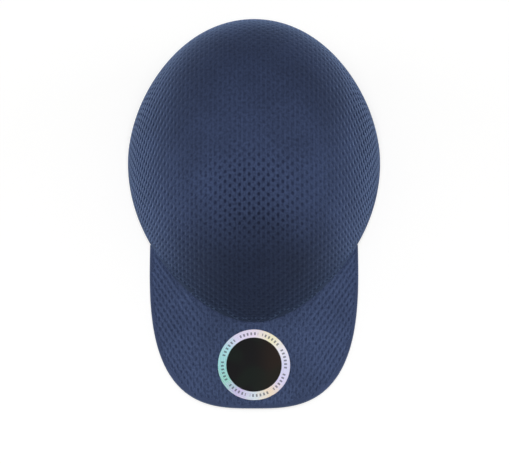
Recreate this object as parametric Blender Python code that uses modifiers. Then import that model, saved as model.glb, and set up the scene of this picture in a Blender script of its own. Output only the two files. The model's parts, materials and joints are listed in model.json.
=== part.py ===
"""Bump cap: a seamless mesh cover with a stiff peak over a removable impact shell.

Units are metres and +Z is up. The peak points along -Y and +X is the wearer's
left, as seen in front. The hem stands on z = 0. Every piece is modelled about
the crown's own centre line and hangs from one empty that centres the whole cap.
"""

import math

import bmesh
import bpy
from mathutils import Matrix, Vector

MM = 0.001
GAP = 0.3 * MM
LAYER_GAP = 0.6 * MM

# Crown: the outer surface is an egg-shaped plan carried up a rounded profile.
CROWN_HALF_BREADTH = 93.0 * MM
CROWN_FRONT_REACH = 136.0 * MM
CROWN_REAR_REACH = 92.0 * MM
CROWN_RISE = 146.0 * MM
HEM_ABOVE_WIDEST = 24.0 * MM
PLAN_TAPER_FRONT = 0.37
PLAN_TAPER_REAR = -0.02
PROFILE_SIDE = 0.0
PROFILE_FRONT = -0.30
PROFILE_REAR = -0.62
CROWN_LEAN = 0.037
FRONT_HEM_RISE = 13.5 * MM
FRONT_HEM_POWER = 1.6
COVER_WALL = 1.6 * MM

# Peak: three layers under the crown's front hem.
PEAK_LENGTH = 59.5 * MM
PEAK_HALF_CHORD = 74.0 * MM
PEAK_DROP = 7.0 * MM
PEAK_SQUARENESS = 3.0
PEAK_CORNER_EDGE = 3.0 * MM
PEAK_TUCK = 2.5 * MM
PEAK_SEAM_GAP = 0.5 * MM
PEAK_TOP_LAYER = 0.9 * MM
PEAK_BOARD_LAYER = 1.7 * MM
PEAK_UNDER_LAYER = 0.9 * MM
PEAK_BOARD_MARGIN = 1.2 * MM

# Round foil sticker on the peak.
STICKER_RADIUS = 25.0 * MM
STICKER_THICKNESS = 0.3 * MM
STICKER_FROM_TIP = 29.5 * MM

# Sweatband inside the hem.
SWEATBAND_HEIGHT = 24.0 * MM
SWEATBAND_LIFT = 0.8 * MM
SWEATBAND_WALL = 1.6 * MM
SWEATBAND_GAP_ARC = math.radians(1.0)

# Rear arch and its edge tape.
ARCH_HALF_WIDTH = 37.5 * MM
ARCH_SPRING = 20.0 * MM
ARCH_HEIGHT = 44.0 * MM
ARCH_LEG_SHARE = 0.2
TAPE_WIDTH = 6.0 * MM
TAPE_WALL = 0.8 * MM
TAPE_START = 0.02

# Adjuster strap, which lies on a cone about a vertical axis. The cone's circle meets
# the hem at the rear centre and at this share of the half breadth to either side.
REAR_ARC_REACH = 0.68
STRAP_LOW = 4.0 * MM
STRAP_WIDTH = 20.0 * MM
STRAP_WALL = 1.4 * MM
STRAP_HIDDEN_ARC = math.radians(20.5)
STRAP_FREE_ARC = math.radians(21.0)
STRAP_TIP_LENGTH = 5.0 * MM
STRAP_FIT = 0.4 * MM
STRAP_EDGE_FIT = 0.6 * MM
ANCHOR_TAB_STANDOFF = 1.3 * MM
ANCHOR_TAB_WALL = 1.2 * MM
CHANNEL_WALL = 1.0 * MM
CHANNEL_MARGIN = 2.6 * MM
CHANNEL_ARC = math.radians(24.0)

# Flip-lever buckle, set on the strap.
BUCKLE_ARC = math.radians(9.0)
BUCKLE_LENGTH = 20.0 * MM
BUCKLE_RAIL = 3.2 * MM
BUCKLE_BACK_WALL = 1.2 * MM
BUCKLE_FRONT_DEPTH = 3.1 * MM
BUCKLE_END_BAR = 3.0 * MM
BUCKLE_EDGE = 0.5 * MM
LEVER_WALL = 1.5 * MM
LEVER_BARREL_RADIUS = 1.6 * MM
LEVER_AXIS_FROM_END = 6.2 * MM
PIN_RADIUS = 0.65 * MM

# Impact shell inside the cover.
SHELL_STANDOFF = 3.4 * MM
SHELL_WALL = 1.8 * MM
SHELL_RIM_SIDE = 30.0 * MM
SHELL_RIM_FRONT = 42.0 * MM
SHELL_RIM_REAR = 52.0 * MM
VENT_LENGTH = 26.0 * MM
VENT_WIDTH = 7.0 * MM
VENT_RISE = 0.60
VENT_CUT_DEPTH = 40.0 * MM
VENT_HEADINGS = (38.0, 58.0, 122.0, 142.0, 218.0, 238.0, 302.0, 322.0)

# Foam pads under the shell, and the hook tabs that hold it in the cover. Each tape
# has this share of the room that both tapes leave between cover and shell behind it.
PAD_WALL = 4.0 * MM
CROWN_PAD_DEPTH = 14.0 * MM
TAB_WALL = 0.9 * MM
TAB_ROOM_SHARE = 0.375
TAB_HEIGHT = 20.0 * MM
TAB_HALF_ANGLE = math.radians(12)

# How far a cutter runs past what it cuts, and the facets round the crown.
CUT_PAST = 2.0 * MM
RING_SEGMENTS = 64
CROWN_RINGS = 14


# ---------------------------------------------------------------- surfaces
def mix(low, high, share):
    """Value a share of the way from low to high."""
    return low + (high - low) * share


def hem_height(phi):
    """Height of the crown's lower edge at plan angle phi (front is -90 degrees)."""
    front = max(0.0, -math.sin(phi))
    return FRONT_HEM_RISE * front**FRONT_HEM_POWER


def crown_point(phi, height, inset=0.0):
    """Point of the crown surface at a plan angle and a height, inset from outside."""
    along, across = math.sin(phi), math.cos(phi)
    front = along < 0.0
    reach = (CROWN_FRONT_REACH if front else CROWN_REAR_REACH) - inset
    taper = PLAN_TAPER_FRONT if front else PLAN_TAPER_REAR
    end_profile = PROFILE_FRONT if front else PROFILE_REAR
    profile = mix(PROFILE_SIDE, end_profile, along**2)
    lift = min(1.0, (height + HEM_ABOVE_WIDEST) / (CROWN_RISE - inset))
    spread = math.sqrt(1.0 - lift**2) * math.sqrt(1.0 - profile * lift**2)
    breadth = (CROWN_HALF_BREADTH - inset) * math.sqrt(1.0 - taper * along**2)
    return Vector((breadth * across * spread, reach * along * spread - CROWN_LEAN * height, height))


def dome_point(phi, rise, base, inset):
    """Crown point a share of the way, by angle, from a base height to the top."""
    radius = CROWN_RISE - inset
    base_angle = math.asin((base + HEM_ABOVE_WIDEST) / radius)
    angle = mix(base_angle, math.pi / 2, rise)
    return crown_point(phi, radius * math.sin(angle) - HEM_ABOVE_WIDEST, inset)


def solve_angle(target, narrow, wide, height_at, inset=0.0):
    """Plan angle, from a narrow one to a wide one, where the crown lies at x = target."""
    for _ in range(40):
        middle = 0.5 * (narrow + wide)
        if crown_point(middle, height_at(middle), inset).x > target:
            wide = middle
        else:
            narrow = middle
    return 0.5 * (narrow + wide)


def front_hem_point(x, inset=0.0):
    """Point of the front hem that lies at x."""
    phi = solve_angle(abs(x), -math.pi / 2, 0.0, hem_height, inset)
    point = crown_point(phi, hem_height(phi), inset)
    return Vector((x, point.y, point.z))


def rear_wall_point(x, height, inset=0.0):
    """Point of the rear half of the crown at x and a height."""
    phi = solve_angle(abs(x), math.pi / 2, 0.0, lambda _: height, inset)
    point = crown_point(phi, height, inset)
    return Vector((x, point.y, height))


def peak_outline(share, margin):
    """Plan point of the peak's free edge; share runs -1 to 1 from end to end."""
    bearing = math.pi / 2 * (1.0 - abs(share))
    power = PEAK_SQUARENESS
    size = (math.cos(bearing) ** power + math.sin(bearing) ** power) ** (-1.0 / power)
    corner = front_hem_point(PEAK_HALF_CHORD)
    tip = front_hem_point(0.0).y - PEAK_LENGTH + margin
    x = (PEAK_HALF_CHORD - margin) * size * math.cos(bearing)
    return Vector((math.copysign(x, share), mix(corner.y, tip, size * math.sin(bearing)), 0.0))


def peak_height(x, y):
    """Height of the peak's top surface over a plan point."""
    corner = front_hem_point(PEAK_HALF_CHORD)
    middle = front_hem_point(0.0)
    root = front_hem_point(min(abs(x), PEAK_HALF_CHORD))
    along = min(1.0, abs(x) / PEAK_HALF_CHORD)
    edge_y = mix(corner.y, middle.y - PEAK_LENGTH, (1.0 - along**PEAK_SQUARENESS) ** (1 / PEAK_SQUARENESS))
    edge_z = mix(middle.z - PEAK_DROP, corner.z, along**2)
    span = max(root.y - edge_y, 1.0 * MM)
    share = min(1.0, max(0.0, (root.y - y) / span))
    return mix(root.z, edge_z, share) - PEAK_SEAM_GAP


def rear_circle():
    """Centre y and radius of the circle that the rear hem follows."""
    x = REAR_ARC_REACH * CROWN_HALF_BREADTH
    side = rear_wall_point(x, 0.0)
    rear = crown_point(math.pi / 2, 0.0)
    sagitta = rear.y - side.y
    radius = (side.x**2 + sagitta**2) / (2.0 * sagitta)
    return rear.y - radius, radius


STRAP_HIGH = STRAP_LOW + STRAP_WIDTH
REAR_CENTRE_Y, REAR_RADIUS = rear_circle()
STRAP_INSET = COVER_WALL + ANCHOR_TAB_STANDOFF + ANCHOR_TAB_WALL + GAP
ARCH_EDGE_ARC = math.asin(ARCH_HALF_WIDTH / REAR_RADIUS)


def cone_point(arc, height, inset):
    """Point inside the rear wall; arc is measured from the rear centre toward +X."""
    wall = crown_point(math.pi / 2, height).y - REAR_CENTRE_Y
    radius = wall - inset
    return Vector((radius * math.sin(arc), REAR_CENTRE_Y + radius * math.cos(arc), height))


# ---------------------------------------------------------------- materials
def make_material(name, colour, roughness, metallic=0.0):
    """Principled material with one colour."""
    material = bpy.data.materials.new(name)
    material.use_nodes = True
    shader = material.node_tree.nodes["Principled BSDF"]
    shader.inputs["Base Color"].default_value = (*colour, 1.0)
    shader.inputs["Roughness"].default_value = roughness
    shader.inputs["Metallic"].default_value = metallic
    material.diffuse_color = (*colour, 1.0)
    return material


# ---------------------------------------------------------------- mesh helpers
class Cap:
    """The collections, the centring empty and the materials that the pieces share."""

    def __init__(self):
        self.parts = self.add_collection("bump_cap")
        self.cutters = self.add_collection("cutters")
        self.centre = bpy.data.objects.new("cap_centre", None)
        self.parts.objects.link(self.centre)
        front = crown_point(-math.pi / 2, FRONT_HEM_RISE).y - PEAK_LENGTH
        self.centre.location.y = -0.5 * (front + buckle_rear())
        self.mesh_navy = make_material("navy_mesh", (0.045, 0.062, 0.130), 0.9)
        self.plain_navy = make_material("navy_cloth", (0.030, 0.040, 0.085), 0.9)
        self.board = make_material("board", (0.62, 0.62, 0.60), 0.6)
        self.shell = make_material("shell_plastic", (0.03, 0.03, 0.035), 0.45)
        self.foam = make_material("foam", (0.05, 0.05, 0.055), 0.95)
        self.hook = make_material("hook_tape", (0.02, 0.02, 0.02), 0.85)
        self.steel = make_material("buckle_steel", (0.55, 0.55, 0.56), 0.3, 1.0)
        self.foil = make_material("foil", (0.02, 0.02, 0.02), 0.25)

    def add_collection(self, name):
        """New collection in the scene."""
        collection = bpy.data.collections.new(name)
        bpy.context.scene.collection.children.link(collection)
        return collection

    def add(self, name, mesh, material, parent=None):
        """Object of the cap that hangs from the centring empty or another parent."""
        piece = bpy.data.objects.new(name, mesh)
        self.parts.objects.link(piece)
        piece.parent = parent or self.centre
        mesh.materials.append(material)
        mesh.shade_smooth()
        mesh.set_sharp_from_angle(angle=math.radians(40))
        return piece

    def add_cutter(self, name, mesh, parent):
        """Cutting shape, which is not itself a piece."""
        cutter = bpy.data.objects.new(name, mesh)
        self.cutters.objects.link(cutter)
        cutter.parent = parent
        cutter.hide_render = True
        cutter.display_type = "WIRE"
        return cutter

    def cut(self, piece, name, mesh, parent=None):
        """Cut a piece by a closed mesh given in the parent's own coordinates."""
        cutter = self.add_cutter(name, mesh, parent or self.centre)
        modifier = piece.modifiers.new(name, "BOOLEAN")
        modifier.operation = "DIFFERENCE"
        modifier.solver = "EXACT"
        modifier.object = cutter
        return cutter


def to_mesh(name, bm):
    """Turn a bmesh into a mesh."""
    mesh = bpy.data.meshes.new(name)
    bm.to_mesh(mesh)
    bm.free()
    return mesh


def grid_seed(columns, rows):
    """Flat grid whose corners are (-1, -1) and (1, 1)."""
    bm = bmesh.new()
    bmesh.ops.create_grid(bm, x_segments=columns, y_segments=rows, size=1.0)
    return bm


def dome_seed(columns, rings):
    """Upper half of a unit ball."""
    bm = bmesh.new()
    bmesh.ops.create_uvsphere(bm, u_segments=columns, v_segments=2 * rings, radius=1.0)
    lower = [vert for vert in bm.verts if vert.co.z < -1e-4]
    bmesh.ops.delete(bm, geom=lower, context="VERTS")
    return bm


def layered(name, bm, place):
    """Closed sheet: the seed placed at depth 0 and at depth 1, joined at its edge."""
    outer = list(bm.verts)
    twin = bmesh.ops.duplicate(bm, geom=bm.verts[:] + bm.edges[:] + bm.faces[:])["geom"]
    inner = [item for item in twin if isinstance(item, bmesh.types.BMVert)]
    inner_faces = [item for item in twin if isinstance(item, bmesh.types.BMFace)]
    bmesh.ops.reverse_faces(bm, faces=inner_faces)
    for vert in outer:
        vert.co = place(vert.co.copy(), 0.0)
    for vert in inner:
        vert.co = place(vert.co.copy(), 1.0)
    rim = [edge for edge in bm.edges if edge.is_boundary]
    bmesh.ops.bridge_loops(bm, edges=rim)
    bmesh.ops.recalc_face_normals(bm, faces=bm.faces)
    return to_mesh(name, bm)


def dome_shell(name, base, inset, wall, columns=RING_SEGMENTS, rings=CROWN_RINGS):
    """Dome-shaped wall from a base height function up to the crown's top."""

    def place(seed, depth):
        phi = math.atan2(seed.y, seed.x)
        rise = math.asin(max(0.0, min(1.0, seed.z))) / (math.pi / 2)
        return dome_point(phi, rise, base(phi), inset + depth * wall)

    return layered(name, dome_seed(columns, rings), place)


def wall_patch(name, start, end, low, high, inset, wall, columns=12, rows=4):
    """Patch of the crown wall between two plan angles and two heights."""

    def place(seed, depth):
        phi = mix(start, end, (seed.x + 1.0) / 2.0)
        height = mix(low(phi), high(phi), (seed.y + 1.0) / 2.0)
        return crown_point(phi, height, inset + depth * wall)

    return layered(name, grid_seed(columns, rows), place)


def cone_band(name, start, end, low, high, inset, wall, columns=16):
    """Band that follows the rear wall between two arcs and two heights."""

    def place(seed, depth):
        arc = mix(start, end, (1.0 - seed.x) / 2.0)
        height = mix(low, high, (seed.y + 1.0) / 2.0)
        return cone_point(arc, height, inset + depth * wall)

    return layered(name, grid_seed(columns, 1), place)


def box_mesh(name, low, high):
    """Box between two corners."""
    bm = bmesh.new()
    bmesh.ops.create_cube(bm, size=1.0)
    for vert in bm.verts:
        vert.co = Vector(mix(low[axis], high[axis], vert.co[axis] + 0.5) for axis in range(3))
    return to_mesh(name, bm)


def rod_mesh(name, radius, low, high, centre, segments=20):
    """Upright cylinder about a centre in x and y."""
    bm = bmesh.new()
    place = Matrix.Translation((centre[0], centre[1], 0.5 * (low + high)))
    bmesh.ops.create_cone(
        bm, cap_ends=True, segments=segments, radius1=radius, radius2=radius, depth=high - low, matrix=place
    )
    return to_mesh(name, bm)


def prism_mesh(name, outline, half_depth):
    """Prism of a closed flat outline, extruded both ways along its own Z."""
    curve = bpy.data.curves.new(name, "CURVE")
    curve.dimensions = "2D"
    curve.fill_mode = "BOTH"
    curve.extrude = half_depth
    spline = curve.splines.new("POLY")
    spline.points.add(len(outline) - 1)
    for point, (x, y) in zip(spline.points, outline):
        point.co = (x, y, 0.0, 1.0)
    spline.use_cyclic_u = True
    guide = bpy.data.objects.new(name, curve)
    bpy.context.scene.collection.objects.link(guide)
    depsgraph = bpy.context.evaluated_depsgraph_get()
    mesh = bpy.data.meshes.new_from_object(guide.evaluated_get(depsgraph))
    bpy.data.objects.remove(guide)
    bm = bmesh.new()
    bm.from_mesh(mesh)
    bmesh.ops.remove_doubles(bm, verts=bm.verts, dist=1e-6)
    bmesh.ops.recalc_face_normals(bm, faces=bm.faces)
    bm.to_mesh(mesh)
    bm.free()
    return mesh


def arch_edge(share, grow=0.0):
    """Point (x, z) of the arch's outline, share 0 to 1 from the +X foot to the -X foot."""
    half_width = ARCH_HALF_WIDTH + grow
    crown = ARCH_HEIGHT - ARCH_SPRING + grow
    if share < ARCH_LEG_SHARE:
        return half_width, mix(0.0, ARCH_SPRING, share / ARCH_LEG_SHARE)
    if share > 1.0 - ARCH_LEG_SHARE:
        return -half_width, mix(0.0, ARCH_SPRING, (1.0 - share) / ARCH_LEG_SHARE)
    turn = math.pi * (share - ARCH_LEG_SHARE) / (1.0 - 2.0 * ARCH_LEG_SHARE)
    return half_width * math.cos(turn), ARCH_SPRING + crown * math.sin(turn)


def arch_outline():
    """Outline of the arch cutter, which runs out below the hem."""
    steps = 25
    first = ARCH_LEG_SHARE
    edge = [arch_edge(mix(first, 1.0 - first, step / (steps - 1))) for step in range(steps)]
    return [(ARCH_HALF_WIDTH, -CUT_PAST)] + edge + [(-ARCH_HALF_WIDTH, -CUT_PAST)]


def slot_outline(length, width, steps=5):
    """Outline of a slot with round ends, along X."""
    half = 0.5 * (length - width)
    outline = []
    for end in (0, 1):
        for step in range(steps + 1):
            turn = -math.pi / 2 + math.pi * (end + step / steps)
            side = half if end == 0 else -half
            outline.append((side + 0.5 * width * math.cos(turn), 0.5 * width * math.sin(turn)))
    return outline


# ---------------------------------------------------------------- cover and peak
def make_crown(cap):
    """Crown cover with its rear arch."""
    mesh = dome_shell("crown_cover", hem_height, 0.0, COVER_WALL)
    cover = cap.add("crown_cover", mesh, cap.mesh_navy)
    cutter = cap.cut(cover, "arch_cutter", prism_mesh("arch_cutter", arch_outline(), CROWN_REAR_REACH / 2))
    cutter.rotation_euler.x = math.pi / 2
    cutter.location.y = CROWN_REAR_REACH


def make_arch_tape(cap):
    """Tape that lies round the arch's edge, outside the cover."""

    def place(seed, depth):
        share = mix(TAPE_START, 1.0 - TAPE_START, (seed.x + 1.0) / 2.0)
        grow = mix(0.0, TAPE_WIDTH, (seed.y + 1.0) / 2.0)
        x, height = arch_edge(share, grow)
        return rear_wall_point(x, height, -GAP - (1.0 - depth) * TAPE_WALL)

    cap.add("arch_tape", layered("arch_tape", grid_seed(40, 1), place), cap.plain_navy)


def make_peak(cap):
    """Top cover, board and under cover of the peak, one below the other."""
    layers = (
        ("peak_top_cover", 0.0, PEAK_TOP_LAYER, 0.0, cap.mesh_navy),
        ("peak_board", PEAK_TOP_LAYER + GAP, PEAK_BOARD_LAYER, PEAK_BOARD_MARGIN, cap.board),
        (
            "peak_under_cover",
            PEAK_TOP_LAYER + PEAK_BOARD_LAYER + 2 * GAP,
            PEAK_UNDER_LAYER,
            0.0,
            cap.plain_navy,
        ),
    )
    for name, top, thickness, margin, material in layers:
        cap.add(name, peak_layer(name, top, thickness, margin), material)


def peak_layer(name, top, thickness, margin):
    """One layer of the peak, a given distance below its top surface."""

    def place(seed, depth):
        root = front_hem_point(seed.x * (PEAK_HALF_CHORD - PEAK_CORNER_EDGE), PEAK_TUCK)
        edge = peak_outline(seed.x, margin)
        share = (1.0 - seed.y) / 2.0
        x = mix(root.x, edge.x, share)
        y = mix(root.y, edge.y, share)
        return Vector((x, y, peak_height(x, y) - top - depth * thickness))

    return layered(name, grid_seed(24, 7), place)


def make_sticker(cap):
    """Round foil sticker that follows the peak."""
    middle_y = front_hem_point(0.0).y - PEAK_LENGTH + STICKER_FROM_TIP

    def place(seed, depth):
        radius = STICKER_RADIUS * (1.0 - math.asin(max(0.0, min(1.0, seed.z))) / (math.pi / 2))
        turn = math.atan2(seed.y, seed.x)
        x = radius * math.cos(turn)
        y = middle_y + radius * math.sin(turn)
        return Vector((x, y, peak_height(x, y) + GAP + (1.0 - depth) * STICKER_THICKNESS))

    cap.add("sticker", layered("sticker", dome_seed(36, 4), place), cap.foil)


def make_sweatband(cap):
    """Band inside the hem, from one strap channel round the front to the other."""
    end = cone_point(ARCH_EDGE_ARC + CHANNEL_ARC + SWEATBAND_GAP_ARC, 0.0, 0.0)
    phi = solve_angle(end.x, math.pi / 2, 0.0, lambda _: 0.0)
    inset = COVER_WALL + LAYER_GAP
    mesh = wall_patch(
        "sweatband",
        -math.pi - phi,
        phi,
        lambda angle: hem_height(angle) + SWEATBAND_LIFT,
        lambda angle: hem_height(angle) + SWEATBAND_HEIGHT,
        inset,
        SWEATBAND_WALL,
        columns=54,
        rows=2,
    )
    cap.add("sweatband", mesh, cap.plain_navy)


# ---------------------------------------------------------------- adjuster
def make_strap(cap):
    """Strap and its end tip, and the sewn channels that hold its two ends."""
    free_end = STRAP_FREE_ARC - STRAP_TIP_LENGTH / REAR_RADIUS
    start = -ARCH_EDGE_ARC - STRAP_HIDDEN_ARC
    mesh = cone_band("strap", start, free_end, STRAP_LOW, STRAP_HIGH, STRAP_INSET, STRAP_WALL, 28)
    cap.add("strap", mesh, cap.plain_navy)
    gap_arc = GAP / REAR_RADIUS
    tip = cone_band(
        "strap_tip", free_end + gap_arc, STRAP_FREE_ARC, STRAP_LOW, STRAP_HIGH, STRAP_INSET, STRAP_WALL, 3
    )
    cap.add("strap_tip", tip, cap.steel)
    near = ARCH_EDGE_ARC + GAP / REAR_RADIUS
    far = ARCH_EDGE_ARC + CHANNEL_ARC
    for name, first, last in (("left", near, far), ("right", -far, -near)):
        cap.add(f"strap_channel_{name}", channel_mesh(name, first, last), cap.plain_navy)


def channel_mesh(name, start, end):
    """Sewn pocket that stands off the cover round the strap and meets it at both edges."""
    heights = (
        STRAP_LOW - CHANNEL_MARGIN,
        STRAP_LOW - STRAP_FIT,
        STRAP_HIGH + STRAP_FIT,
        STRAP_HIGH + CHANNEL_MARGIN,
    )

    def place(seed, depth):
        row = round((seed.y + 1.0) * 1.5)
        arc = mix(start, end, (1.0 - seed.x) / 2.0)
        pocket = cone_point(arc, heights[row], STRAP_INSET + STRAP_WALL + STRAP_FIT + depth * CHANNEL_WALL)
        if row in (1, 2):
            return pocket
        return rear_wall_point(pocket.x, heights[row], COVER_WALL + LAYER_GAP + depth * CHANNEL_WALL)

    return layered(f"strap_channel_{name}", grid_seed(12, 3), place)


def buckle_matrix():
    """Place of the buckle: X along the strap, Y outward, Z up the leaning wall."""
    mid_height = 0.5 * (STRAP_LOW + STRAP_HIGH)
    origin = cone_point(BUCKLE_ARC, mid_height, STRAP_INSET + STRAP_WALL / 2)
    low = cone_point(0.0, STRAP_LOW, 0.0)
    high = cone_point(0.0, STRAP_HIGH, 0.0)
    lean = math.atan2(low.y - high.y, STRAP_WIDTH)
    turn = Matrix.Rotation(-BUCKLE_ARC, 4, "Z") @ Matrix.Rotation(lean, 4, "X")
    return Matrix.Translation(origin) @ turn


def buckle_half_height():
    """Half the buckle's height, from its middle to the outside of a rail."""
    return STRAP_WIDTH / 2 + STRAP_EDGE_FIT + BUCKLE_RAIL


def buckle_rear():
    """Rearmost y of the buckle frame, which is the cap's rearmost point."""
    place = buckle_matrix()
    outer = STRAP_WALL / 2 + BUCKLE_FRONT_DEPTH
    end = BUCKLE_LENGTH / 2
    return (place @ Vector((-end + BUCKLE_EDGE, outer, BUCKLE_EDGE - buckle_half_height()))).y


def make_buckle(cap):
    """Buckle frame, its pin, the lever that turns on it, and the anchor tab."""
    place = bpy.data.objects.new("buckle_place", None)
    cap.parts.objects.link(place)
    place.parent = cap.centre
    place.matrix_local = buckle_matrix()

    slot_half = STRAP_WIDTH / 2 + STRAP_EDGE_FIT
    half_height = buckle_half_height()
    sag = BUCKLE_LENGTH**2 / (8 * REAR_RADIUS)
    slot_back = -STRAP_WALL / 2 - STRAP_FIT - sag
    slot_front = STRAP_WALL / 2 + STRAP_FIT
    back = slot_back - BUCKLE_BACK_WALL
    front = STRAP_WALL / 2 + BUCKLE_FRONT_DEPTH
    end = BUCKLE_LENGTH / 2

    body = box_mesh("buckle_frame", (-end, back, -half_height), (end, front, half_height))
    frame = cap.add("buckle_frame", body, cap.steel, place)
    bevel = frame.modifiers.new("edges", "BEVEL")
    bevel.width = BUCKLE_EDGE
    bevel.segments = 2
    reach = end + CUT_PAST
    slot = box_mesh("strap_slot", (-reach, slot_back, -slot_half), (reach, slot_front, slot_half))
    cap.cut(frame, "strap_slot", slot, place)
    window_low = (-end + BUCKLE_END_BAR, slot_front - GAP, -slot_half)
    window = box_mesh("lever_window", window_low, (reach, front + CUT_PAST, slot_half))
    cap.cut(frame, "lever_window", window, place)

    axis = (-end + LEVER_AXIS_FROM_END, slot_front + LEVER_BARREL_RADIUS)
    hole = rod_mesh("pin_hole", PIN_RADIUS + GAP, -half_height - CUT_PAST, half_height + CUT_PAST, axis)
    cap.cut(frame, "pin_hole", hole, place)
    pin_end = half_height - 2 * GAP
    cap.add("buckle_pin", rod_mesh("buckle_pin", PIN_RADIUS, -pin_end, pin_end, axis), cap.steel, place)

    hinge = bpy.data.objects.new("lever_hinge", None)
    cap.parts.objects.link(hinge)
    hinge.parent = place
    hinge.location = (axis[0], axis[1], 0.0)
    lever_half = slot_half - GAP
    barrel = rod_mesh("buckle_lever", LEVER_BARREL_RADIUS, -lever_half, lever_half, (0.0, 0.0), 24)
    lever = cap.add("buckle_lever", barrel, cap.steel, hinge)
    plate_front = front + GAP - axis[1]
    plate = box_mesh(
        "lever_plate", (0.0, plate_front - LEVER_WALL, -lever_half), (end - axis[0], plate_front, lever_half)
    )
    plate_guide = cap.add_cutter("lever_plate", plate, hinge)
    union = lever.modifiers.new("plate", "BOOLEAN")
    union.operation = "UNION"
    union.solver = "EXACT"
    union.object = plate_guide
    bore = rod_mesh("lever_bore", PIN_RADIUS + GAP, -half_height, half_height, (0.0, 0.0))
    cap.cut(lever, "lever_bore", bore, hinge)

    tab_start = BUCKLE_ARC + (end + LAYER_GAP) / (REAR_RADIUS - STRAP_INSET)
    tab_inset = STRAP_INSET - GAP - ANCHOR_TAB_WALL
    tab_end = ARCH_EDGE_ARC + CHANNEL_ARC / 2
    tab = cone_band(
        "buckle_anchor_tab", tab_start, tab_end, STRAP_LOW, STRAP_HIGH, tab_inset, ANCHOR_TAB_WALL
    )
    cap.add("buckle_anchor_tab", tab, cap.plain_navy)


# ---------------------------------------------------------------- insert
def shell_rim(phi):
    """Height of the impact shell's lower edge."""
    along = math.sin(phi)
    end = SHELL_RIM_FRONT if along < 0.0 else SHELL_RIM_REAR
    return mix(SHELL_RIM_SIDE, end, along**2)


def make_shell(cap):
    """Impact shell with its vents."""
    inset = COVER_WALL + SHELL_STANDOFF
    mesh = dome_shell("impact_shell", shell_rim, inset, SHELL_WALL, 56, 12)
    shell = cap.add("impact_shell", mesh, cap.shell)
    for number, heading in enumerate(VENT_HEADINGS):
        phi = math.radians(heading)
        centre = dome_point(phi, VENT_RISE, shell_rim(phi), inset)
        outline = slot_outline(VENT_LENGTH, VENT_WIDTH)
        cutter = cap.cut(shell, f"vent_{number}", prism_mesh(f"vent_{number}", outline, VENT_CUT_DEPTH))
        cutter.location = centre
        cutter.rotation_euler.z = math.atan2(centre.y, centre.x)


def make_pads(cap):
    """Foam pads glued inside the shell."""
    inset = COVER_WALL + SHELL_STANDOFF + SHELL_WALL + LAYER_GAP
    quarter = math.pi / 2
    pads = (
        ("front_pad", -quarter, math.radians(30), 6.0 * MM, 34.0 * MM),
        ("rear_pad", quarter, math.radians(30), 4.0 * MM, 26.0 * MM),
        ("left_side_pad", 0.0, math.radians(26), 6.0 * MM, 36.0 * MM),
        ("right_side_pad", math.pi, math.radians(26), 6.0 * MM, 36.0 * MM),
    )
    for name, middle, half, low, high in pads:
        mesh = wall_patch(
            name,
            middle - half,
            middle + half,
            lambda phi, lift=low: shell_rim(phi) + lift,
            lambda phi, lift=high: shell_rim(phi) + lift,
            inset,
            PAD_WALL,
        )
        cap.add(name, mesh, cap.foam)
    base = CROWN_RISE - HEM_ABOVE_WIDEST - inset - CROWN_PAD_DEPTH
    crown = dome_shell("crown_pad", lambda phi: base, inset, PAD_WALL, 36, 4)
    cap.add("crown_pad", crown, cap.foam)


def make_tabs(cap):
    """Hook tabs on the shell and the loop patches that face them in the cover."""
    quarter = math.pi / 2
    places = (
        ("front", -quarter, 64.0 * MM),
        ("rear", quarter, 60.0 * MM),
        ("left", 0.0, 58.0 * MM),
        ("right", math.pi, 58.0 * MM),
    )
    behind = TAB_ROOM_SHARE * (SHELL_STANDOFF - 2 * TAB_WALL)
    kinds = (
        ("loop_patch", COVER_WALL + behind, cap.plain_navy),
        ("hook_tab", COVER_WALL + SHELL_STANDOFF - behind - TAB_WALL, cap.hook),
    )
    for name, middle, low in places:
        for kind, inset, material in kinds:
            node = f"{name}_{kind}"
            mesh = wall_patch(
                node,
                middle - TAB_HALF_ANGLE,
                middle + TAB_HALF_ANGLE,
                lambda phi, edge=low: edge,
                lambda phi, edge=low + TAB_HEIGHT: edge,
                inset,
                TAB_WALL,
                columns=6,
                rows=2,
            )
            cap.add(node, mesh, material)


def main():
    """Build the cap."""
    for item in list(bpy.data.objects):
        bpy.data.objects.remove(item)
    cap = Cap()
    make_crown(cap)
    make_arch_tape(cap)
    make_peak(cap)
    make_sticker(cap)
    make_sweatband(cap)
    make_strap(cap)
    make_buckle(cap)
    make_shell(cap)
    make_pads(cap)
    make_tabs(cap)


main()
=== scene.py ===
"""Bump cap: the look of its mesh cover, peak, adjuster and removable impact shell.

Units are metres, +Z is up, the peak points along -Y and +X is the wearer's left.
Shapes are worked out in crown coordinates, whose y is zero at the crown's centre
line, and each finished mesh is moved to the frame's own place as it is stored.
"""

import json
import logging
import math
from dataclasses import dataclass, field
from enum import Enum
from typing import Any, Callable, Optional, Sequence, Union

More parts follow.
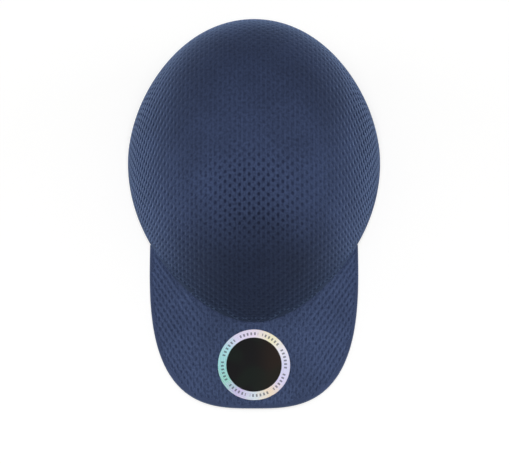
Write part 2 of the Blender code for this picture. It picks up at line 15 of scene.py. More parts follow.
import bmesh
import bpy
import numpy as np
from bpy.types import Material, Mesh, Node, NodeTree, Object, Scene
from bpy.types import NodeSocket as Socket
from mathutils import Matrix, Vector

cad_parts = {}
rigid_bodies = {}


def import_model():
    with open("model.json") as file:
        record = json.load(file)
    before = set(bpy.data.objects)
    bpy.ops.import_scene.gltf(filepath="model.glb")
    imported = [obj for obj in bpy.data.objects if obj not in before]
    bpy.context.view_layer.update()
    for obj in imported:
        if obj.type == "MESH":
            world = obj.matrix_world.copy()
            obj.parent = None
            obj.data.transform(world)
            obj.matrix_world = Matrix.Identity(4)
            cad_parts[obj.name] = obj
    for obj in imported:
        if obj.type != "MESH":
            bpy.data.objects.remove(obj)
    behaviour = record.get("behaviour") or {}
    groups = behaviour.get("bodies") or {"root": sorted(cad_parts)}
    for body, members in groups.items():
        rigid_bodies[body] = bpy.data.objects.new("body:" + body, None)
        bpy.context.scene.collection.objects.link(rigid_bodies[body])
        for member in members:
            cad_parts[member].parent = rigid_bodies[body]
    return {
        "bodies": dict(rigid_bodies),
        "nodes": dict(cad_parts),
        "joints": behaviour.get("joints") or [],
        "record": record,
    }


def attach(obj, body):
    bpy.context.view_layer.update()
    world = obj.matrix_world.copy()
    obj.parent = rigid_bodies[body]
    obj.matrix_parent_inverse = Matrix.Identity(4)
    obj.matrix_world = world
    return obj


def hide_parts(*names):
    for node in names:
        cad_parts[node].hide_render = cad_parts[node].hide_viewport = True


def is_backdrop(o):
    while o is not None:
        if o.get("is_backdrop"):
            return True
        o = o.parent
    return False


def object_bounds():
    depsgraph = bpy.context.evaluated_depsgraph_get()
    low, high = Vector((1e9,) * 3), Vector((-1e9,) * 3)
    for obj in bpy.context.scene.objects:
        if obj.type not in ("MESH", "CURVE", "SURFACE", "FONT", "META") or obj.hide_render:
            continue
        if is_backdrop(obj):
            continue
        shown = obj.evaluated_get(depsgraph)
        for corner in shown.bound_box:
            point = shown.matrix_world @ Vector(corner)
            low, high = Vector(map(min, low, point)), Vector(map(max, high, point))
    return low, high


LOG = logging.getLogger("bump_cap")
MM = 0.001
TURN = 2.0 * math.pi
CENTRE_Y = 0.051009
Array = np.ndarray
Field = Callable[[Array, Array], Array]
Place = Callable[[Array, Array, Array], Array]
Colour = tuple[float, float, float]
Number = Union[float, Array]
Zone = tuple[float, float]


class Body(Enum):
    """Bodies that the pieces ride on."""

    COVER = "cover"
    INSERT = "insert"
    STRAP = "strap_body"
    LEVER = "lever"


class Slot(Enum):
    """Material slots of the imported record."""

    MESH = "mesh_fabric"
    CLOTH = "cloth"
    BOARD = "board"
    SHELL = "shell_plastic"
    FOAM = "foam"
    HOOK = "hook_tape"
    STEEL = "buckle_metal"
    FOIL = "foil"


# ---------------------------------------------------------------- forms
def mix(low: Number, high: Number, share: Number) -> Number:
    """Value a share of the way from low to high."""
    return low + (high - low) * share


def smooth_step(value: Array, low: float, high: float) -> Array:
    """Smooth rise from 0 at low to 1 at high.

    Args:
        value: Numbers to grade.
        low: Where the rise starts.
        high: Where it ends.

    Returns:
        Graded numbers from 0 to 1.
    """
    share = np.clip((value - low) / (high - low), 0.0, 1.0)
    return share * share * (3.0 - 2.0 * share)


def lengths(points: Array) -> Array:
    """Distances along a line of points, from 0 at the first."""
    return np.concatenate([[0.0], np.cumsum(np.linalg.norm(np.diff(points, axis=0), axis=1))])


def places(reach: Array, pitch: Array) -> Array:
    """Lattice places along a line whose pitch changes, from 0 at its start."""
    return np.concatenate([[0.0], np.cumsum(np.diff(reach) / (0.5 * (pitch[1:] + pitch[:-1])))])


def halve(past: Callable[[Array], Array], near: Number, far: Number) -> Number:
    """Values between two ends where a test starts to hold.

    Args:
        past: Test that holds from the wanted value to the far end.
        near: Ends where it doesn't hold.
        far: Ends where it holds.

    Returns:
        The values, found by halving.
    """
    for _ in range(40):
        middle = 0.5 * (near + far)
        beyond = past(middle)
        far = np.where(beyond, middle, far)
        near = np.where(beyond, near, middle)
    return 0.5 * (near + far)


def round_over(inside: Array, radius: float) -> Array:
    """Drop of a rounded edge at distances inside it."""
    near = np.clip(radius - inside, 0.0, radius)
    return radius - np.sqrt(radius**2 - near**2)


def square_size(turn: Array, power: float) -> Array:
    """Reach of a rounded square's outline in each direction."""
    return (np.abs(np.cos(turn)) ** power + np.abs(np.sin(turn)) ** power) ** (-1.0 / power)


def roll_steps() -> list[tuple[float, float]]:
    """Sine and cosine of each step round a rolled edge."""
    return [
        (math.sin(math.radians(turn)), math.cos(math.radians(turn))) for turn in (45.0, 90.0, 135.0)
    ]


@dataclass(frozen=True)
class CrownForm:
    """Outer surface of the crown: an egg-shaped plan carried up a rounded profile."""

    half_breadth: float = 93.0 * MM
    front_reach: float = 136.0 * MM
    rear_reach: float = 92.0 * MM
    rise: float = 146.0 * MM
    hem_above_widest: float = 24.0 * MM
    taper_front: float = 0.37
    taper_rear: float = -0.02
    profile_side: float = 0.0
    profile_front: float = -0.30
    profile_rear: float = -0.62
    lean: float = 0.037
    front_hem_rise: float = 13.5 * MM
    front_hem_power: float = 1.6
    wall: float = 1.6 * MM

    def hem(self, phi: Array) -> Array:
        """Height of the lower edge at plan angles (the front is -90 degrees)."""
        return self.front_hem_rise * np.maximum(0.0, -np.sin(phi)) ** self.front_hem_power

    def ends(self, front: Array, inset: float) -> tuple[Array, Array, Array]:
        """Reach, taper and end profile of the front or the rear half.

        Args:
            front: Whether each point lies in the front half.
            inset: Distance inside the outer surface.

        Returns:
            Reaches, tapers and end profiles.
        """
        reach = np.where(front, self.front_reach, self.rear_reach) - inset
        taper = np.where(front, self.taper_front, self.taper_rear)
        return reach, taper, np.where(front, self.profile_front, self.profile_rear)

    def point(self, phi: Array, height: Array, inset: float = 0.0) -> Array:
        """Points of the surface.

        Args:
            phi: Plan angles.
            height: Heights above the hem plane.
            inset: Distance inside the outer surface.

        Returns:
            Array of shape (n, 3) in crown coordinates.
        """
        phi, height = np.broadcast_arrays(np.asarray(phi, float), np.asarray(height, float))
        along, across = np.sin(phi), np.cos(phi)
        reach, taper, end_profile = self.ends(along < 0.0, inset)
        profile = mix(self.profile_side, end_profile, along**2)
        lift = np.minimum(1.0, (height + self.hem_above_widest) / (self.rise - inset))
        spread = np.sqrt(1.0 - lift**2) * np.sqrt(1.0 - profile * lift**2)
        breadth = (self.half_breadth - inset) * np.sqrt(1.0 - taper * along**2)
        return np.stack(
            [breadth * across * spread, reach * along * spread - self.lean * height, height],
            axis=-1,
        )

    def over(self, x: Array, level: Array) -> tuple[Array, Array]:
        """Plan angle and height of the outer surface over plan points.

        Args:
            x: Distances across.
            level: Distances along before the crown's lean is added.

        Returns:
            Arrays of plan angles and heights; a point past the widest outline stays at it.
        """
        x, level = np.broadcast_arrays(np.asarray(x, float), np.asarray(level, float))
        reach, taper, end_profile = self.ends(level < 0.0, 0.0)
        across = (x / self.half_breadth) ** 2 + 1e-12
        along = (level / reach) ** 2 + 1e-12
        total = along * (1.0 + taper) + across
        sine = 2.0 * along / (total + np.sqrt(np.maximum(total**2 - 4.0 * along**2 * taper, 0.0)))
        sine = np.clip(sine, 1e-12, 1.0 - 1e-12)
        by_breadth = across / ((1.0 - taper * sine) * (1.0 - sine))
        spread = np.clip(np.where(sine > 0.5, along / sine, by_breadth), 0.0, 1.0)
        profile = mix(self.profile_side, end_profile, sine)
        lower = 1.0 + profile
        lift = 2.0 * (1.0 - spread) / (lower + np.sqrt(lower**2 - 4.0 * profile * (1.0 - spread)))
        height = self.rise * np.sqrt(np.clip(lift, 0.0, 1.0)) - self.hem_above_widest
        phi = np.arctan2(np.sign(level) * np.sqrt(sine), np.sign(x) * np.sqrt(1.0 - sine))
        return phi, height

    def surface(self, x: Array, level: Array) -> Array:
        """Points of the outer surface over plan points."""
        _, height = self.over(x, level)
        return np.stack([x, level - self.lean * height, height], axis=-1)

    def normal(self, x: Array, level: Array, step: float = 0.02 * MM) -> Array:
        """Outward unit normals of the outer surface over plan points.

        Args:
            x: Distances across.
            level: Distances along, before the lean.
            step: Distance to the neighbours it is measured from.

        Returns:
            Unit normals.
        """
        across = self.surface(x + step, level) - self.surface(x - step, level)
        along = self.surface(x, level + step) - self.surface(x, level - step)
        normal = np.cross(across, along)
        return normal / np.linalg.norm(normal, axis=-1, keepdims=True)

    def angle_at(self, x: Array, height: Array, end: float, inset: float = 0.0) -> Array:
        """Plan angle, on the +X side, where the surface lies at a distance across.

        Args:
            x: Distances across.
            height: Heights, one for each distance, or a single one.
            end: Plan angle of the front or of the rear, where x is zero.
            inset: Distance inside the outer surface.

        Returns:
            Plan angles between the end and the side.
        """
        x, height = np.broadcast_arrays(np.abs(np.asarray(x, float)), np.asarray(height, float))
        ends = np.full(x.shape, end), np.zeros(x.shape)
        return halve(lambda phi: self.point(phi, height, inset)[..., 0] > x, *ends)

    def rear_wall(self, x: Array, height: Array, inset: float = 0.0) -> Array:
        """Points of the rear half of the surface at given distances across and heights.

        Args:
            x: Distances across.
            height: Heights above the hem plane.
            inset: Distance inside the outer surface.

        Returns:
            Points of the wall.
        """
        x, height = np.broadcast_arrays(np.asarray(x, float), np.asarray(height, float))
        point = self.point(self.angle_at(x, height, math.pi / 2, inset), height, inset)
        point[..., 0] = x
        return point

    def front_hem(self, x: Array, inset: float = 0.0) -> Array:
        """Points of the front hem at given distances across.

        Args:
            x: Distances across.
            inset: Distance inside the outer surface.

        Returns:
            Points of the hem.
        """
        x = np.asarray(x, float)
        ends = np.full(x.shape, -math.pi / 2), np.zeros(x.shape)
        phi = halve(lambda phi: self.point(phi, self.hem(phi), inset)[..., 0] > np.abs(x), *ends)
        point = self.point(phi, self.hem(phi), inset)
        point[..., 0] = x
        return point

    def pole(self, inset: float) -> Array:
        """Topmost point, straight below the outer one."""
        top = self.rise - self.hem_above_widest
        return np.array([0.0, -self.lean * top, top - inset])

    def dome(self, phi: Array, rise: Array, base: Array, inset: float) -> Array:
        """Points a share of the way, by angle, from a base height to the top.

        Args:
            phi: Plan angles.
            rise: Shares of the way up.
            base: Heights that it starts from.
            inset: Distance inside the outer surface.

        Returns:
            Points of the surface.
        """
        radius = self.rise - inset
        base_angle = np.arcsin((base + self.hem_above_widest) / radius)
        angle = mix(base_angle, math.pi / 2, rise)
        return self.point(phi, radius * np.sin(angle) - self.hem_above_widest, inset)


@dataclass(frozen=True)
class PeakForm:
    """Top surface of the peak and its outline."""

    crown: CrownForm
    length: float = 59.5 * MM
    half_chord: float = 74.0 * MM
    drop: float = 7.0 * MM
    squareness: float = 3.0
    corner_edge: float = 3.0 * MM
    tuck: float = 2.5 * MM
    seam_gap: float = 0.5 * MM
    top_layer: float = 0.9 * MM
    board_layer: float = 1.7 * MM
    under_layer: float = 0.9 * MM
    layer_gap: float = 0.3 * MM

    def corner(self) -> Array:
        """Point of the front hem where the peak's free edge starts."""
        return self.crown.front_hem(np.array([self.half_chord]))[0]

    def middle(self) -> Array:
        """Point of the front hem on the centre line."""
        return self.crown.front_hem(np.array([0.0]))[0]

    def tip(self) -> float:
        """Foremost y of the peak."""
        return float(self.middle()[1]) - self.length

    def root(self, x: Array, inset: float = 0.0) -> Array:
        """y of the hem that the peak starts from."""
        return self.crown.front_hem(np.clip(np.abs(x), 0.0, self.half_chord), inset)[..., 1]

    def height(self, x: Array, y: Array) -> Array:
        """Height of the top surface over plan points.

        Args:
            x: Distances across.
            y: Distances along.

        Returns:
            Heights.
        """
        corner, middle = self.corner(), self.middle()
        root = self.crown.front_hem(np.minimum(np.abs(x), self.half_chord))
        along = np.minimum(1.0, np.abs(x) / self.half_chord)
        power = self.squareness
        edge_y = mix(corner[1], middle[1] - self.length, (1.0 - along**power) ** (1.0 / power))
        edge_z = mix(middle[2] - self.drop, corner[2], along**2)
        span = np.maximum(root[..., 1] - edge_y, 1.0 * MM)
        share = np.clip((root[..., 1] - y) / span, 0.0, 1.0)
        return mix(root[..., 2], edge_z, share) - self.seam_gap


@dataclass(frozen=True)
class ArchForm:
    """Outline of the adjuster opening in the rear wall, in x and z."""

    half_width: float = 37.5 * MM
    spring: float = 20.0 * MM
    top: float = 44.0 * MM
    leg_share: float = 0.2

    def level(self, x: Array, z: Array, grow: float = 0.0) -> Array:
        """Distance outside the outline, negative inside it, roughly in metres.

        Args:
            x: Distances across.
            z: Heights.
            grow: Distance outside the opening.

        Returns:
            Distances, roughly in metres.
        """
        half_width, crown = self.half_width + grow, self.top - self.spring + grow
        legs = np.abs(x) - half_width
        radius = np.hypot(x / half_width, (z - self.spring) / crown)
        return np.where(z < self.spring, legs, (radius - 1.0) * crown)

    def edge(self, share: Array, grow: Array, foot: float = 0.0) -> tuple[Array, Array]:
        """Points of the grown outline, share 0 to 1 from the +X foot to the -X foot.

        Args:
            share: Shares of the way along.
            grow: Distance outside the opening.
            foot: Height of the ends.

        Returns:
            Distances across and heights.
        """
        half_width, crown = self.half_width + grow, self.top - self.spring + grow
        leg = self.leg_share
        turn = math.pi * (np.clip(share, leg, 1.0 - leg) - leg) / (1.0 - 2.0 * leg)
        x = half_width * np.cos(turn)
        z = self.spring + crown * np.sin(turn)
        rising = mix(foot, self.spring, np.minimum(share, 1.0 - share) / leg)
        return x, np.where(np.minimum(share, 1.0 - share) < leg, rising, z)


@dataclass(frozen=True)
class RearForm:
    """Cone that the strap lies on, inside the rear wall."""

    crown: CrownForm
    arc_reach: float = 0.68

    def circle(self) -> tuple[float, float]:
        """Centre y and radius of the circle that the rear hem follows.

        Returns:
            The centre's y and the radius.
        """
        x = self.arc_reach * self.crown.half_breadth
        side = self.crown.rear_wall(np.array([x]), np.array([0.0]))[0]
        rear = self.crown.point(np.array([math.pi / 2]), np.array([0.0]))[0]
        sagitta = rear[1] - side[1]
        radius = (side[0] ** 2 + sagitta**2) / (2.0 * sagitta)
        return float(rear[1] - radius), float(radius)

    def point(self, arc: Array, height: Array, inset: Array) -> Array:
        """Points inside the rear wall; arcs are measured from the rear centre toward +X.

        Args:
            arc: Angles from the rear centre toward +X.
            height: Heights above the hem plane.
            inset: Distances inside the rear wall.

        Returns:
            Points in crown coordinates.
        """
        arc, height, inset = np.broadcast_arrays(
            *(np.asarray(item, float) for item in (arc, height, inset))
        )
        centre, _ = self.circle()
        wall = self.crown.point(np.full(height.shape, math.pi / 2), height)[..., 1] - centre
        radius = wall - inset
        return np.stack([radius * np.sin(arc), centre + radius * np.cos(arc), height], axis=-1)


# ---------------------------------------------------------------- workshop
class Workshop:
    """Stores meshes as pieces of the cap and keeps what they share."""

    def __init__(self, centre_y: float) -> None:
        """Keep the y of the crown's centre line in the frame."""
        self.centre_y = centre_y

    def mesh(
        self,
        name: str,
        points: Array,
        faces: Sequence[Sequence[int]],
        edges: Sequence[tuple[int, int]] = (),
    ) -> Mesh:
        """Mesh of crown-coordinate points, moved to its place in the frame.

        Args:
            name: Name of the mesh.
            points: Points in crown coordinates.
            faces: Point numbers of each face.
            edges: Point numbers of each edge of a mesh that has no faces.

        Returns:
            The mesh.
        """
        placed = np.asarray(points, float) + np.array([0.0, self.centre_y, 0.0])
        made = bpy.data.meshes.new(name)
        made.from_pydata(placed.tolist(), list(edges), [list(map(int, face)) for face in faces])
        made.update()
        return made

    def points(self, mesh: Mesh) -> Array:
        """Vertices of a mesh in crown coordinates."""
        return np.array([vertex.co for vertex in mesh.vertices]) - np.array(
            [0.0, self.centre_y, 0.0]
        )

    def values(self, mesh: Mesh, name: str, data: Array) -> None:
        """Store one number for each vertex as a named attribute."""
        store = mesh.attributes.new(name, "FLOAT", "POINT")
        store.data.foreach_set("value", data.astype(np.float32))

    def link(self, name: str, mesh: Mesh) -> Object:
        """Object at the origin that shows a mesh.

        Args:
            name: Name of the object.
            mesh: Mesh that it shows.

        Returns:
            The object.
        """
        piece = bpy.data.objects.new(name, mesh)
        bpy.context.scene.collection.objects.link(piece)
        return piece

    def settle(self, piece: Object) -> Object:
        """Turn a piece with modifiers into a plain mesh object.

        Args:
            piece: Object whose modifiers are to be applied.

        Returns:
            The same object with its evaluated mesh and no modifier.
        """
        depsgraph = bpy.context.evaluated_depsgraph_get()
        made = bpy.data.meshes.new_from_object(piece.evaluated_get(depsgraph), depsgraph=depsgraph)
        piece.modifiers.clear()
        piece.data = made
        return piece

    def finish(
        self,
        piece: Object,
        material: Material,
        body: Body,
        slot: Slot,
        nodes: Sequence[str] = (),
    ) -> Object:
        """Give a piece its material, shading and body.

        Args:
            piece: Finished mesh object.
            material: Material of every face.
            body: Body that it rides on.
            slot: Record slot of its finish; not used.
            nodes: CAD nodes that it stands for.

        Returns:
            The piece.
        """
        piece.data.materials.clear()
        piece.data.materials.append(material)
        for polygon in piece.data.polygons:
            polygon.material_index = 0
        piece.data.shade_smooth()
        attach(piece, body.value)
        if nodes:
            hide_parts(*nodes)
        LOG.info("%s: %d faces on %s", piece.name, len(piece.data.polygons), body.value)
        return piece


def close_up(mesh: Mesh) -> None:
    """Turn every face of a closed mesh outward.

    Args:
        mesh: Mesh to work on.
    """
    bm = bmesh.new()
    bm.from_mesh(mesh)
    bmesh.ops.recalc_face_normals(bm, faces=bm.faces)
    bm.to_mesh(mesh)
    bm.free()


def write_uv(mesh: Mesh, name: str, values: Array) -> None:
    """Store one UV for each vertex as a UV map.

    Args:
        mesh: Mesh to work on.
        name: Name of the UV map.
        values: One UV for each vertex.
    """
    layer = mesh.uv_layers.new(name=name)
    corners = np.empty(len(mesh.loops), dtype=np.int32)
    mesh.loops.foreach_get("vertex_index", corners)
    layer.data.foreach_set("uv", values[corners].astype(np.float32).ravel())


def grid_faces(
    columns: int, rows: int, start: int = 0, flip: bool = False
) -> list[tuple[int, ...]]:
    """Quads of a grid of (columns + 1) by (rows + 1) points stored row by row.

    Args:
        columns: Steps along a row.
        rows: Steps across the rows.
        start: Number of the first point.
        flip: Whether the faces look the other way.

    Returns:
        Point numbers of each quad.
    """
    faces = []
    for row in range(rows):
        for column in range(columns):
            first = start + row * (columns + 1) + column
            quad = (first, first + 1, first + columns + 2, first + columns + 1)
            faces.append(tuple(reversed(quad)) if flip else quad)
    return faces


def slab(shop: Workshop, name: str, columns: int, rows: int, place: Place) -> Object:
    """Closed slab with a UV map in metres along its two sides.

    Args:
        shop: Workshop that stores the mesh.
        name: Name of the piece.
        columns: Steps along u.
        rows: Steps along v.
        place: Maps u, v from 0 to 1 and depth 0 or 1 to points.

    Returns:
        Object with the closed mesh.
    """
    v, u = np.meshgrid(np.linspace(0, 1, rows + 1), np.linspace(0, 1, columns + 1), indexing="ij")
    flat_u, flat_v = u.ravel(), v.ravel()
    outer = place(flat_u, flat_v, np.zeros_like(flat_u))
    inner = place(flat_u, flat_v, np.ones_like(flat_u))
    count = len(outer)
    faces = grid_faces(columns, rows) + grid_faces(columns, rows, count, True)
    rim = list(range(columns + 1))
    rim += [row * (columns + 1) + columns for row in range(1, rows + 1)]
    rim += [rows * (columns + 1) + column for column in range(columns - 1, -1, -1)]
    rim += [row * (columns + 1) for row in range(rows - 1, 0, -1)]
    for here, there in zip(rim, rim[1:] + rim[:1]):
        faces.append((there, here, here + count, there + count))
    mesh = shop.mesh(name, np.concatenate([outer, inner]), faces)
    close_up(mesh)
    middle = outer.reshape(rows + 1, columns + 1, 3)
    length = np.linalg.norm(np.diff(middle[rows // 2], axis=0), axis=1).sum()
    breadth = np.linalg.norm(np.diff(middle[:, columns // 2], axis=0), axis=1).sum()
    chart = np.stack([flat_u * length, flat_v * breadth], axis=1)
    write_uv(mesh, "cloth", np.concatenate([chart, chart]))
    return shop.link(name, mesh)


def soften(piece: Object, width: float, segments: int = 3, angle: float = 50.0) -> None:
    """Round the sharp edges of a piece.

    Args:
        piece: Object to work on.
        width: Width of the rounding.
        segments: Facets of the rounding.
        angle: Least angle, in degrees, of an edge that is rounded.
    """
    bevel = piece.modifiers.new("soft_edges", "BEVEL")
    bevel.width = width
    bevel.segments = segments
    bevel.limit_method = "ANGLE"
    bevel.angle_limit = math.radians(angle)
    bevel.harden_normals = False


# ---------------------------------------------------------------- node helpers
class Signal:
    """Output of a node that can be reckoned with like a number."""

    def __init__(self, sheet: "NodeSheet", socket: Socket) -> None:
        """Keep the sheet and the socket."""
        self.sheet, self.socket = sheet, socket

    def __add__(self, other: "Feed") -> "Signal":
        """Sum with a signal or a number."""
        return self.sheet.maths("ADD", self, other)

    def __sub__(self, other: "Feed") -> "Signal":
        """This less a signal or a number."""
        return self.sheet.maths("SUBTRACT", self, other)

    def __rsub__(self, other: float) -> "Signal":
        """A number less this."""
        return self.sheet.maths("SUBTRACT", other, self)

    def __mul__(self, other: "Feed") -> "Signal":
        """Product with a signal or a number."""
        return self.sheet.maths("MULTIPLY", self, other)

    def __truediv__(self, other: "Feed") -> "Signal":
        """Quotient by a signal or a number."""
        return self.sheet.maths("DIVIDE", self, other)

    __radd__, __rmul__ = __add__, __mul__


Feed = Union[Signal, Socket, float, tuple[float, ...], Material]


class NodeSheet:
    """Short calls that place and join nodes in one tree."""

    def __init__(self, tree: NodeTree) -> None:
        """Keep the tree."""
        self.tree = tree

    def add(
        self, kind: str, feeds: Optional[dict[Union[str, int], Feed]] = None, **settings: Any
    ) -> Node:
        """New node.

        Args:
            kind: Type of the node.
            feeds: Sources or plain values of its inputs, by name or number.
            **settings: Properties of the node.

        Returns:
            The node.
        """
        node = self.tree.nodes.new(kind)
        for key, value in settings.items():
            setattr(node, key, value)
        for key, value in (feeds or {}).items():
            self.feed(node.inputs[key], value)
        return node

    def feed(self, socket: Socket, value: Feed) -> None:
        """Link a socket to a source, or set its plain value.

        Args:
            socket: Input of a node.
            value: Signal, socket, number, colour, vector or material.
        """
        value = value.socket if isinstance(value, Signal) else value
        if isinstance(value, Socket):
            self.tree.links.new(value, socket)
        else:
            plain_colour = isinstance(value, tuple) and len(value) == 3 and socket.type == "RGBA"
            socket.default_value = (*value, 1.0) if plain_colour else value

    def read(self, node: Node, name: str) -> Signal:
        """One output of a node."""
        return Signal(self, node.outputs[name])

    def reads(self, node: Node) -> dict[str, Signal]:
        """Every output of a node by its name."""
        return {socket.name: Signal(self, socket) for socket in node.outputs}

    def split(self, vector: Feed) -> list[Signal]:
        """The x, y and z of a vector."""
        return list(self.reads(self.add("ShaderNodeSeparateXYZ", {0: vector})).values())

    def scale(self, vector: Feed, factor: Feed) -> Signal:
        """Vector or colour times a factor."""
        node = self.add("ShaderNodeVectorMath", {0: vector, "Scale": factor}, operation="SCALE")
        return self.read(node, "Vector")

    def length(self, vector: Feed) -> Signal:
        """Length of a vector."""
        return self.read(self.add("ShaderNodeVectorMath", {0: vector}, operation="LENGTH"), "Value")

    def maths(self, operation: str, *values: Feed, clamp: bool = False) -> Signal:
        """Result of a Math node."""
        feeds = dict(enumerate(values))
        return self.read(
            self.add("ShaderNodeMath", feeds, operation=operation, use_clamp=clamp), "Value"
        )

    def grade(
        self, value: Feed, low: float, high: float, start: float = 0.0, end: float = 1.0
    ) -> Signal:
        """Smooth grading of a value between two limits.

        Args:
            value: Value to grade.
            low: Where the grading starts.
            high: Where it ends.
            start: Result at and before the start.
            end: Result at and after the end.

        Returns:
            The graded value.
        """
        feeds = {"Value": value, "From Min": low, "From Max": high, "To Min": start, "To Max": end}
        return self.read(
            self.add("ShaderNodeMapRange", feeds, interpolation_type="SMOOTHSTEP"), "Result"
        )

    def blend(self, share: Feed, low: Feed, high: Feed) -> Signal:
        """Colour a share of the way from low to high."""
        feeds = {"Factor": share, "A": low, "B": high}
        return self.read(self.add("ShaderNodeMix", feeds, data_type="RGBA"), "Result")

    def noise(
        self, vector: Feed, scale: Feed, detail: float = 2.0, roughness: float = 0.5
    ) -> Signal:
        """Noise value from 0 to 1.

        Args:
            vector: Where the noise is read.
            scale: How fine it is.
            detail: Octaves of finer noise.
            roughness: Strength of the finer noise.

        Returns:
            The noise value.
        """
        feeds = {"Vector": vector, "Scale": scale, "Detail": detail, "Roughness": roughness}
        return self.read(self.add("ShaderNodeTexNoise", feeds), "Fac")

    def seen(self) -> Signal:
        """Mask of the rays that show the backdrop.

        Returns:
            1 for rays that look straight, by a mirror or through glass, and 0 for others.
        """
        path = self.reads(self.add("ShaderNodeLightPath"))
        seen = self.maths("MAXIMUM", path["Is Camera Ray"], path["Is Transmission Ray"])
        return self.maths("MAXIMUM", seen, path["Is Glossy Ray"])


def new_group(
    name: str, inputs: Sequence[tuple], outputs: Sequence[tuple[str, str]]
) -> tuple[NodeTree, NodeSheet, dict[str, Signal]]:
    """Shader node group with named sockets.

    Args:
        name: Name of the group.
        inputs: Tuples of socket name, kind of value and default or None.
        outputs: Tuples of socket name and kind of value.

    Returns:
        The tree, a sheet to place nodes on and the group's inputs by name.
    """
    tree = bpy.data.node_groups.new(name, "ShaderNodeTree")
    for label, kind, value in inputs:
        socket = tree.interface.new_socket(label, in_out="INPUT", socket_type=f"NodeSocket{kind}")
        if value is not None:
            socket.default_value = value
    for label, kind in outputs:
        tree.interface.new_socket(label, in_out="OUTPUT", socket_type=f"NodeSocket{kind}")
    sheet = NodeSheet(tree)
    return tree, sheet, sheet.reads(sheet.add("NodeGroupInput"))


class ShapeTree:
    """Geometry node tree with named inputs that ends in real faces of one material."""

    def __init__(self, name: str, kind: str, labels: Sequence[str], material: Material) -> None:
        """Make the tree and its sockets.

        Args:
            name: Name of the tree.
            kind: Kind of value of its named inputs.
            labels: Names of its inputs.
            material: Material of the result.
        """
        self.tree = bpy.data.node_groups.new(name, "GeometryNodeTree")
        face = self.tree.interface
        face.new_socket("Geometry", in_out="INPUT", socket_type="NodeSocketGeometry")
        self.keys = {}
        for label in labels:
            socket = face.new_socket(label, in_out="INPUT", socket_type=f"NodeSocket{kind}")
            self.keys[label] = socket.identifier
        face.new_socket("Geometry", in_out="OUTPUT", socket_type="NodeSocketGeometry")
        self.sheet, self.material = NodeSheet(self.tree), material
        self.entry = self.sheet.reads(self.sheet.add("NodeGroupInput"))

    def close(self, shape: Socket) -> None:
        """End the tree in Realize Instances and Set Material.

        Args:
            shape: Geometry of the result.
        """
        real = self.sheet.add("GeometryNodeRealizeInstances", {"Geometry": shape}).outputs[0]
        feeds = {"Geometry": real, "Material": self.material}
        dressed = self.sheet.add("GeometryNodeSetMaterial", feeds).outputs[0]
        self.sheet.add("NodeGroupOutput", {"Geometry": dressed})

    def run(self, shop: Workshop, piece: Object, values: dict[str, Any]) -> None:
        """Turn a piece into the tree's result.

        Args:
            shop: Workshop that applies the modifier.
            piece: Object that the tree starts from.
            values: Values of the named inputs.
        """
        modifier = piece.modifiers.new(self.tree.name, "NODES")
        modifier.node_group = self.tree
        for label, value in values.items():
            modifier[self.keys[label]] = value
        shop.settle(piece)


class Effects:
    """Node groups that more than one material places."""

    def __init__(self) -> None:
        """Build each group once."""
        self.knit = self.make_knit()
        self.grain = self.make_grain()
        self.shade = self.make_shade()

    def make_knit(self) -> NodeTree:
        """Fine knitted loops from a UV map.

        Returns:
            Group that puts out the height and the yarn mask.
        """
        inputs = (("Vector", "Vector", None), ("Wales", "Float", 1.0), ("Courses", "Float", 1.0))
        tree, sheet, entry = new_group(
            "fine_knit", inputs, (("Height", "Float"), ("Yarn", "Float"))
        )
        across, along, _ = sheet.split(entry["Vector"])
        across, along = across * entry["Wales"], along * entry["Courses"]
        loop = along + sheet.maths("PINGPONG", across, 0.5) * 1.3
        wave, rib = sheet.maths("SINE", loop * TURN), sheet.maths("COSINE", across * TURN)
        height = wave * 0.3 + rib * 0.35 + sheet.noise(entry["Vector"], 900.0, 1.0) * 0.5
        sheet.add(
            "NodeGroupOutput", {"Height": height + 0.5, "Yarn": sheet.grade(height, -0.2, 0.8)}
        )
        return tree

    def make_grain(self) -> NodeTree:
        """Fine moulded or brushed grain from a position.

        Returns:
            Group that puts out the height and a slow variation.
        """
        inputs = (
            ("Vector", "Vector", None), ("Fineness", "Float", 1500.0), ("Drift", "Float", 40.0)
        )
        tree, sheet, entry = new_group(
            "fine_grain", inputs, (("Height", "Float"), ("Variation", "Float"))
        )
        fine = sheet.noise(entry["Vector"], entry["Fineness"], 3.0, 0.6)
        slow = sheet.noise(entry["Vector"], entry["Drift"], 3.0, 0.55)
        sheet.add("NodeGroupOutput", {"Height": fine, "Variation": sheet.grade(slow, 0.3, 0.7)})
        return tree

    def make_shade(self) -> NodeTree:
        """Colour between two tones by a mask and a slow variation.

        Returns:
            Group that puts out the colour.
        """
        inputs = [("Dark", "Color", None), ("Light", "Color", None)]
        inputs += [("Mask", "Float", 0.5), ("Variation", "Float", 0.5), ("Strength", "Float", 0.1)]
        tree, sheet, entry = new_group("two_tone", inputs, (("Color", "Color"),))
        colour = sheet.blend(entry["Mask"], entry["Dark"], entry["Light"])
        factor = (entry["Variation"] - 0.5) * entry["Strength"] + 1.0
        sheet.add("NodeGroupOutput", {"Color": sheet.scale(colour, factor)})
        return tree


@dataclass(frozen=True)
class Surface:
    """Settings of a Principled shader that are the same all over a piece."""

    roughness: float
    metallic: float = 0.0
    specular: float = 0.5
    sheen: float = 0.0
    sheen_roughness: float = 0.4
    sheen_tint: Colour = (1.0, 1.0, 1.0)

    def sockets(self) -> dict[str, Feed]:
        """Values by the names of the shader's sockets.

        Returns:
            Value of each socket.
        """
        return {
            "Roughness": self.roughness,
            "Metallic": self.metallic,
            "Specular IOR Level": self.specular,
            "Sheen Weight": self.sheen,
            "Sheen Roughness": self.sheen_roughness,
            "Sheen Tint": self.sheen_tint,
        }


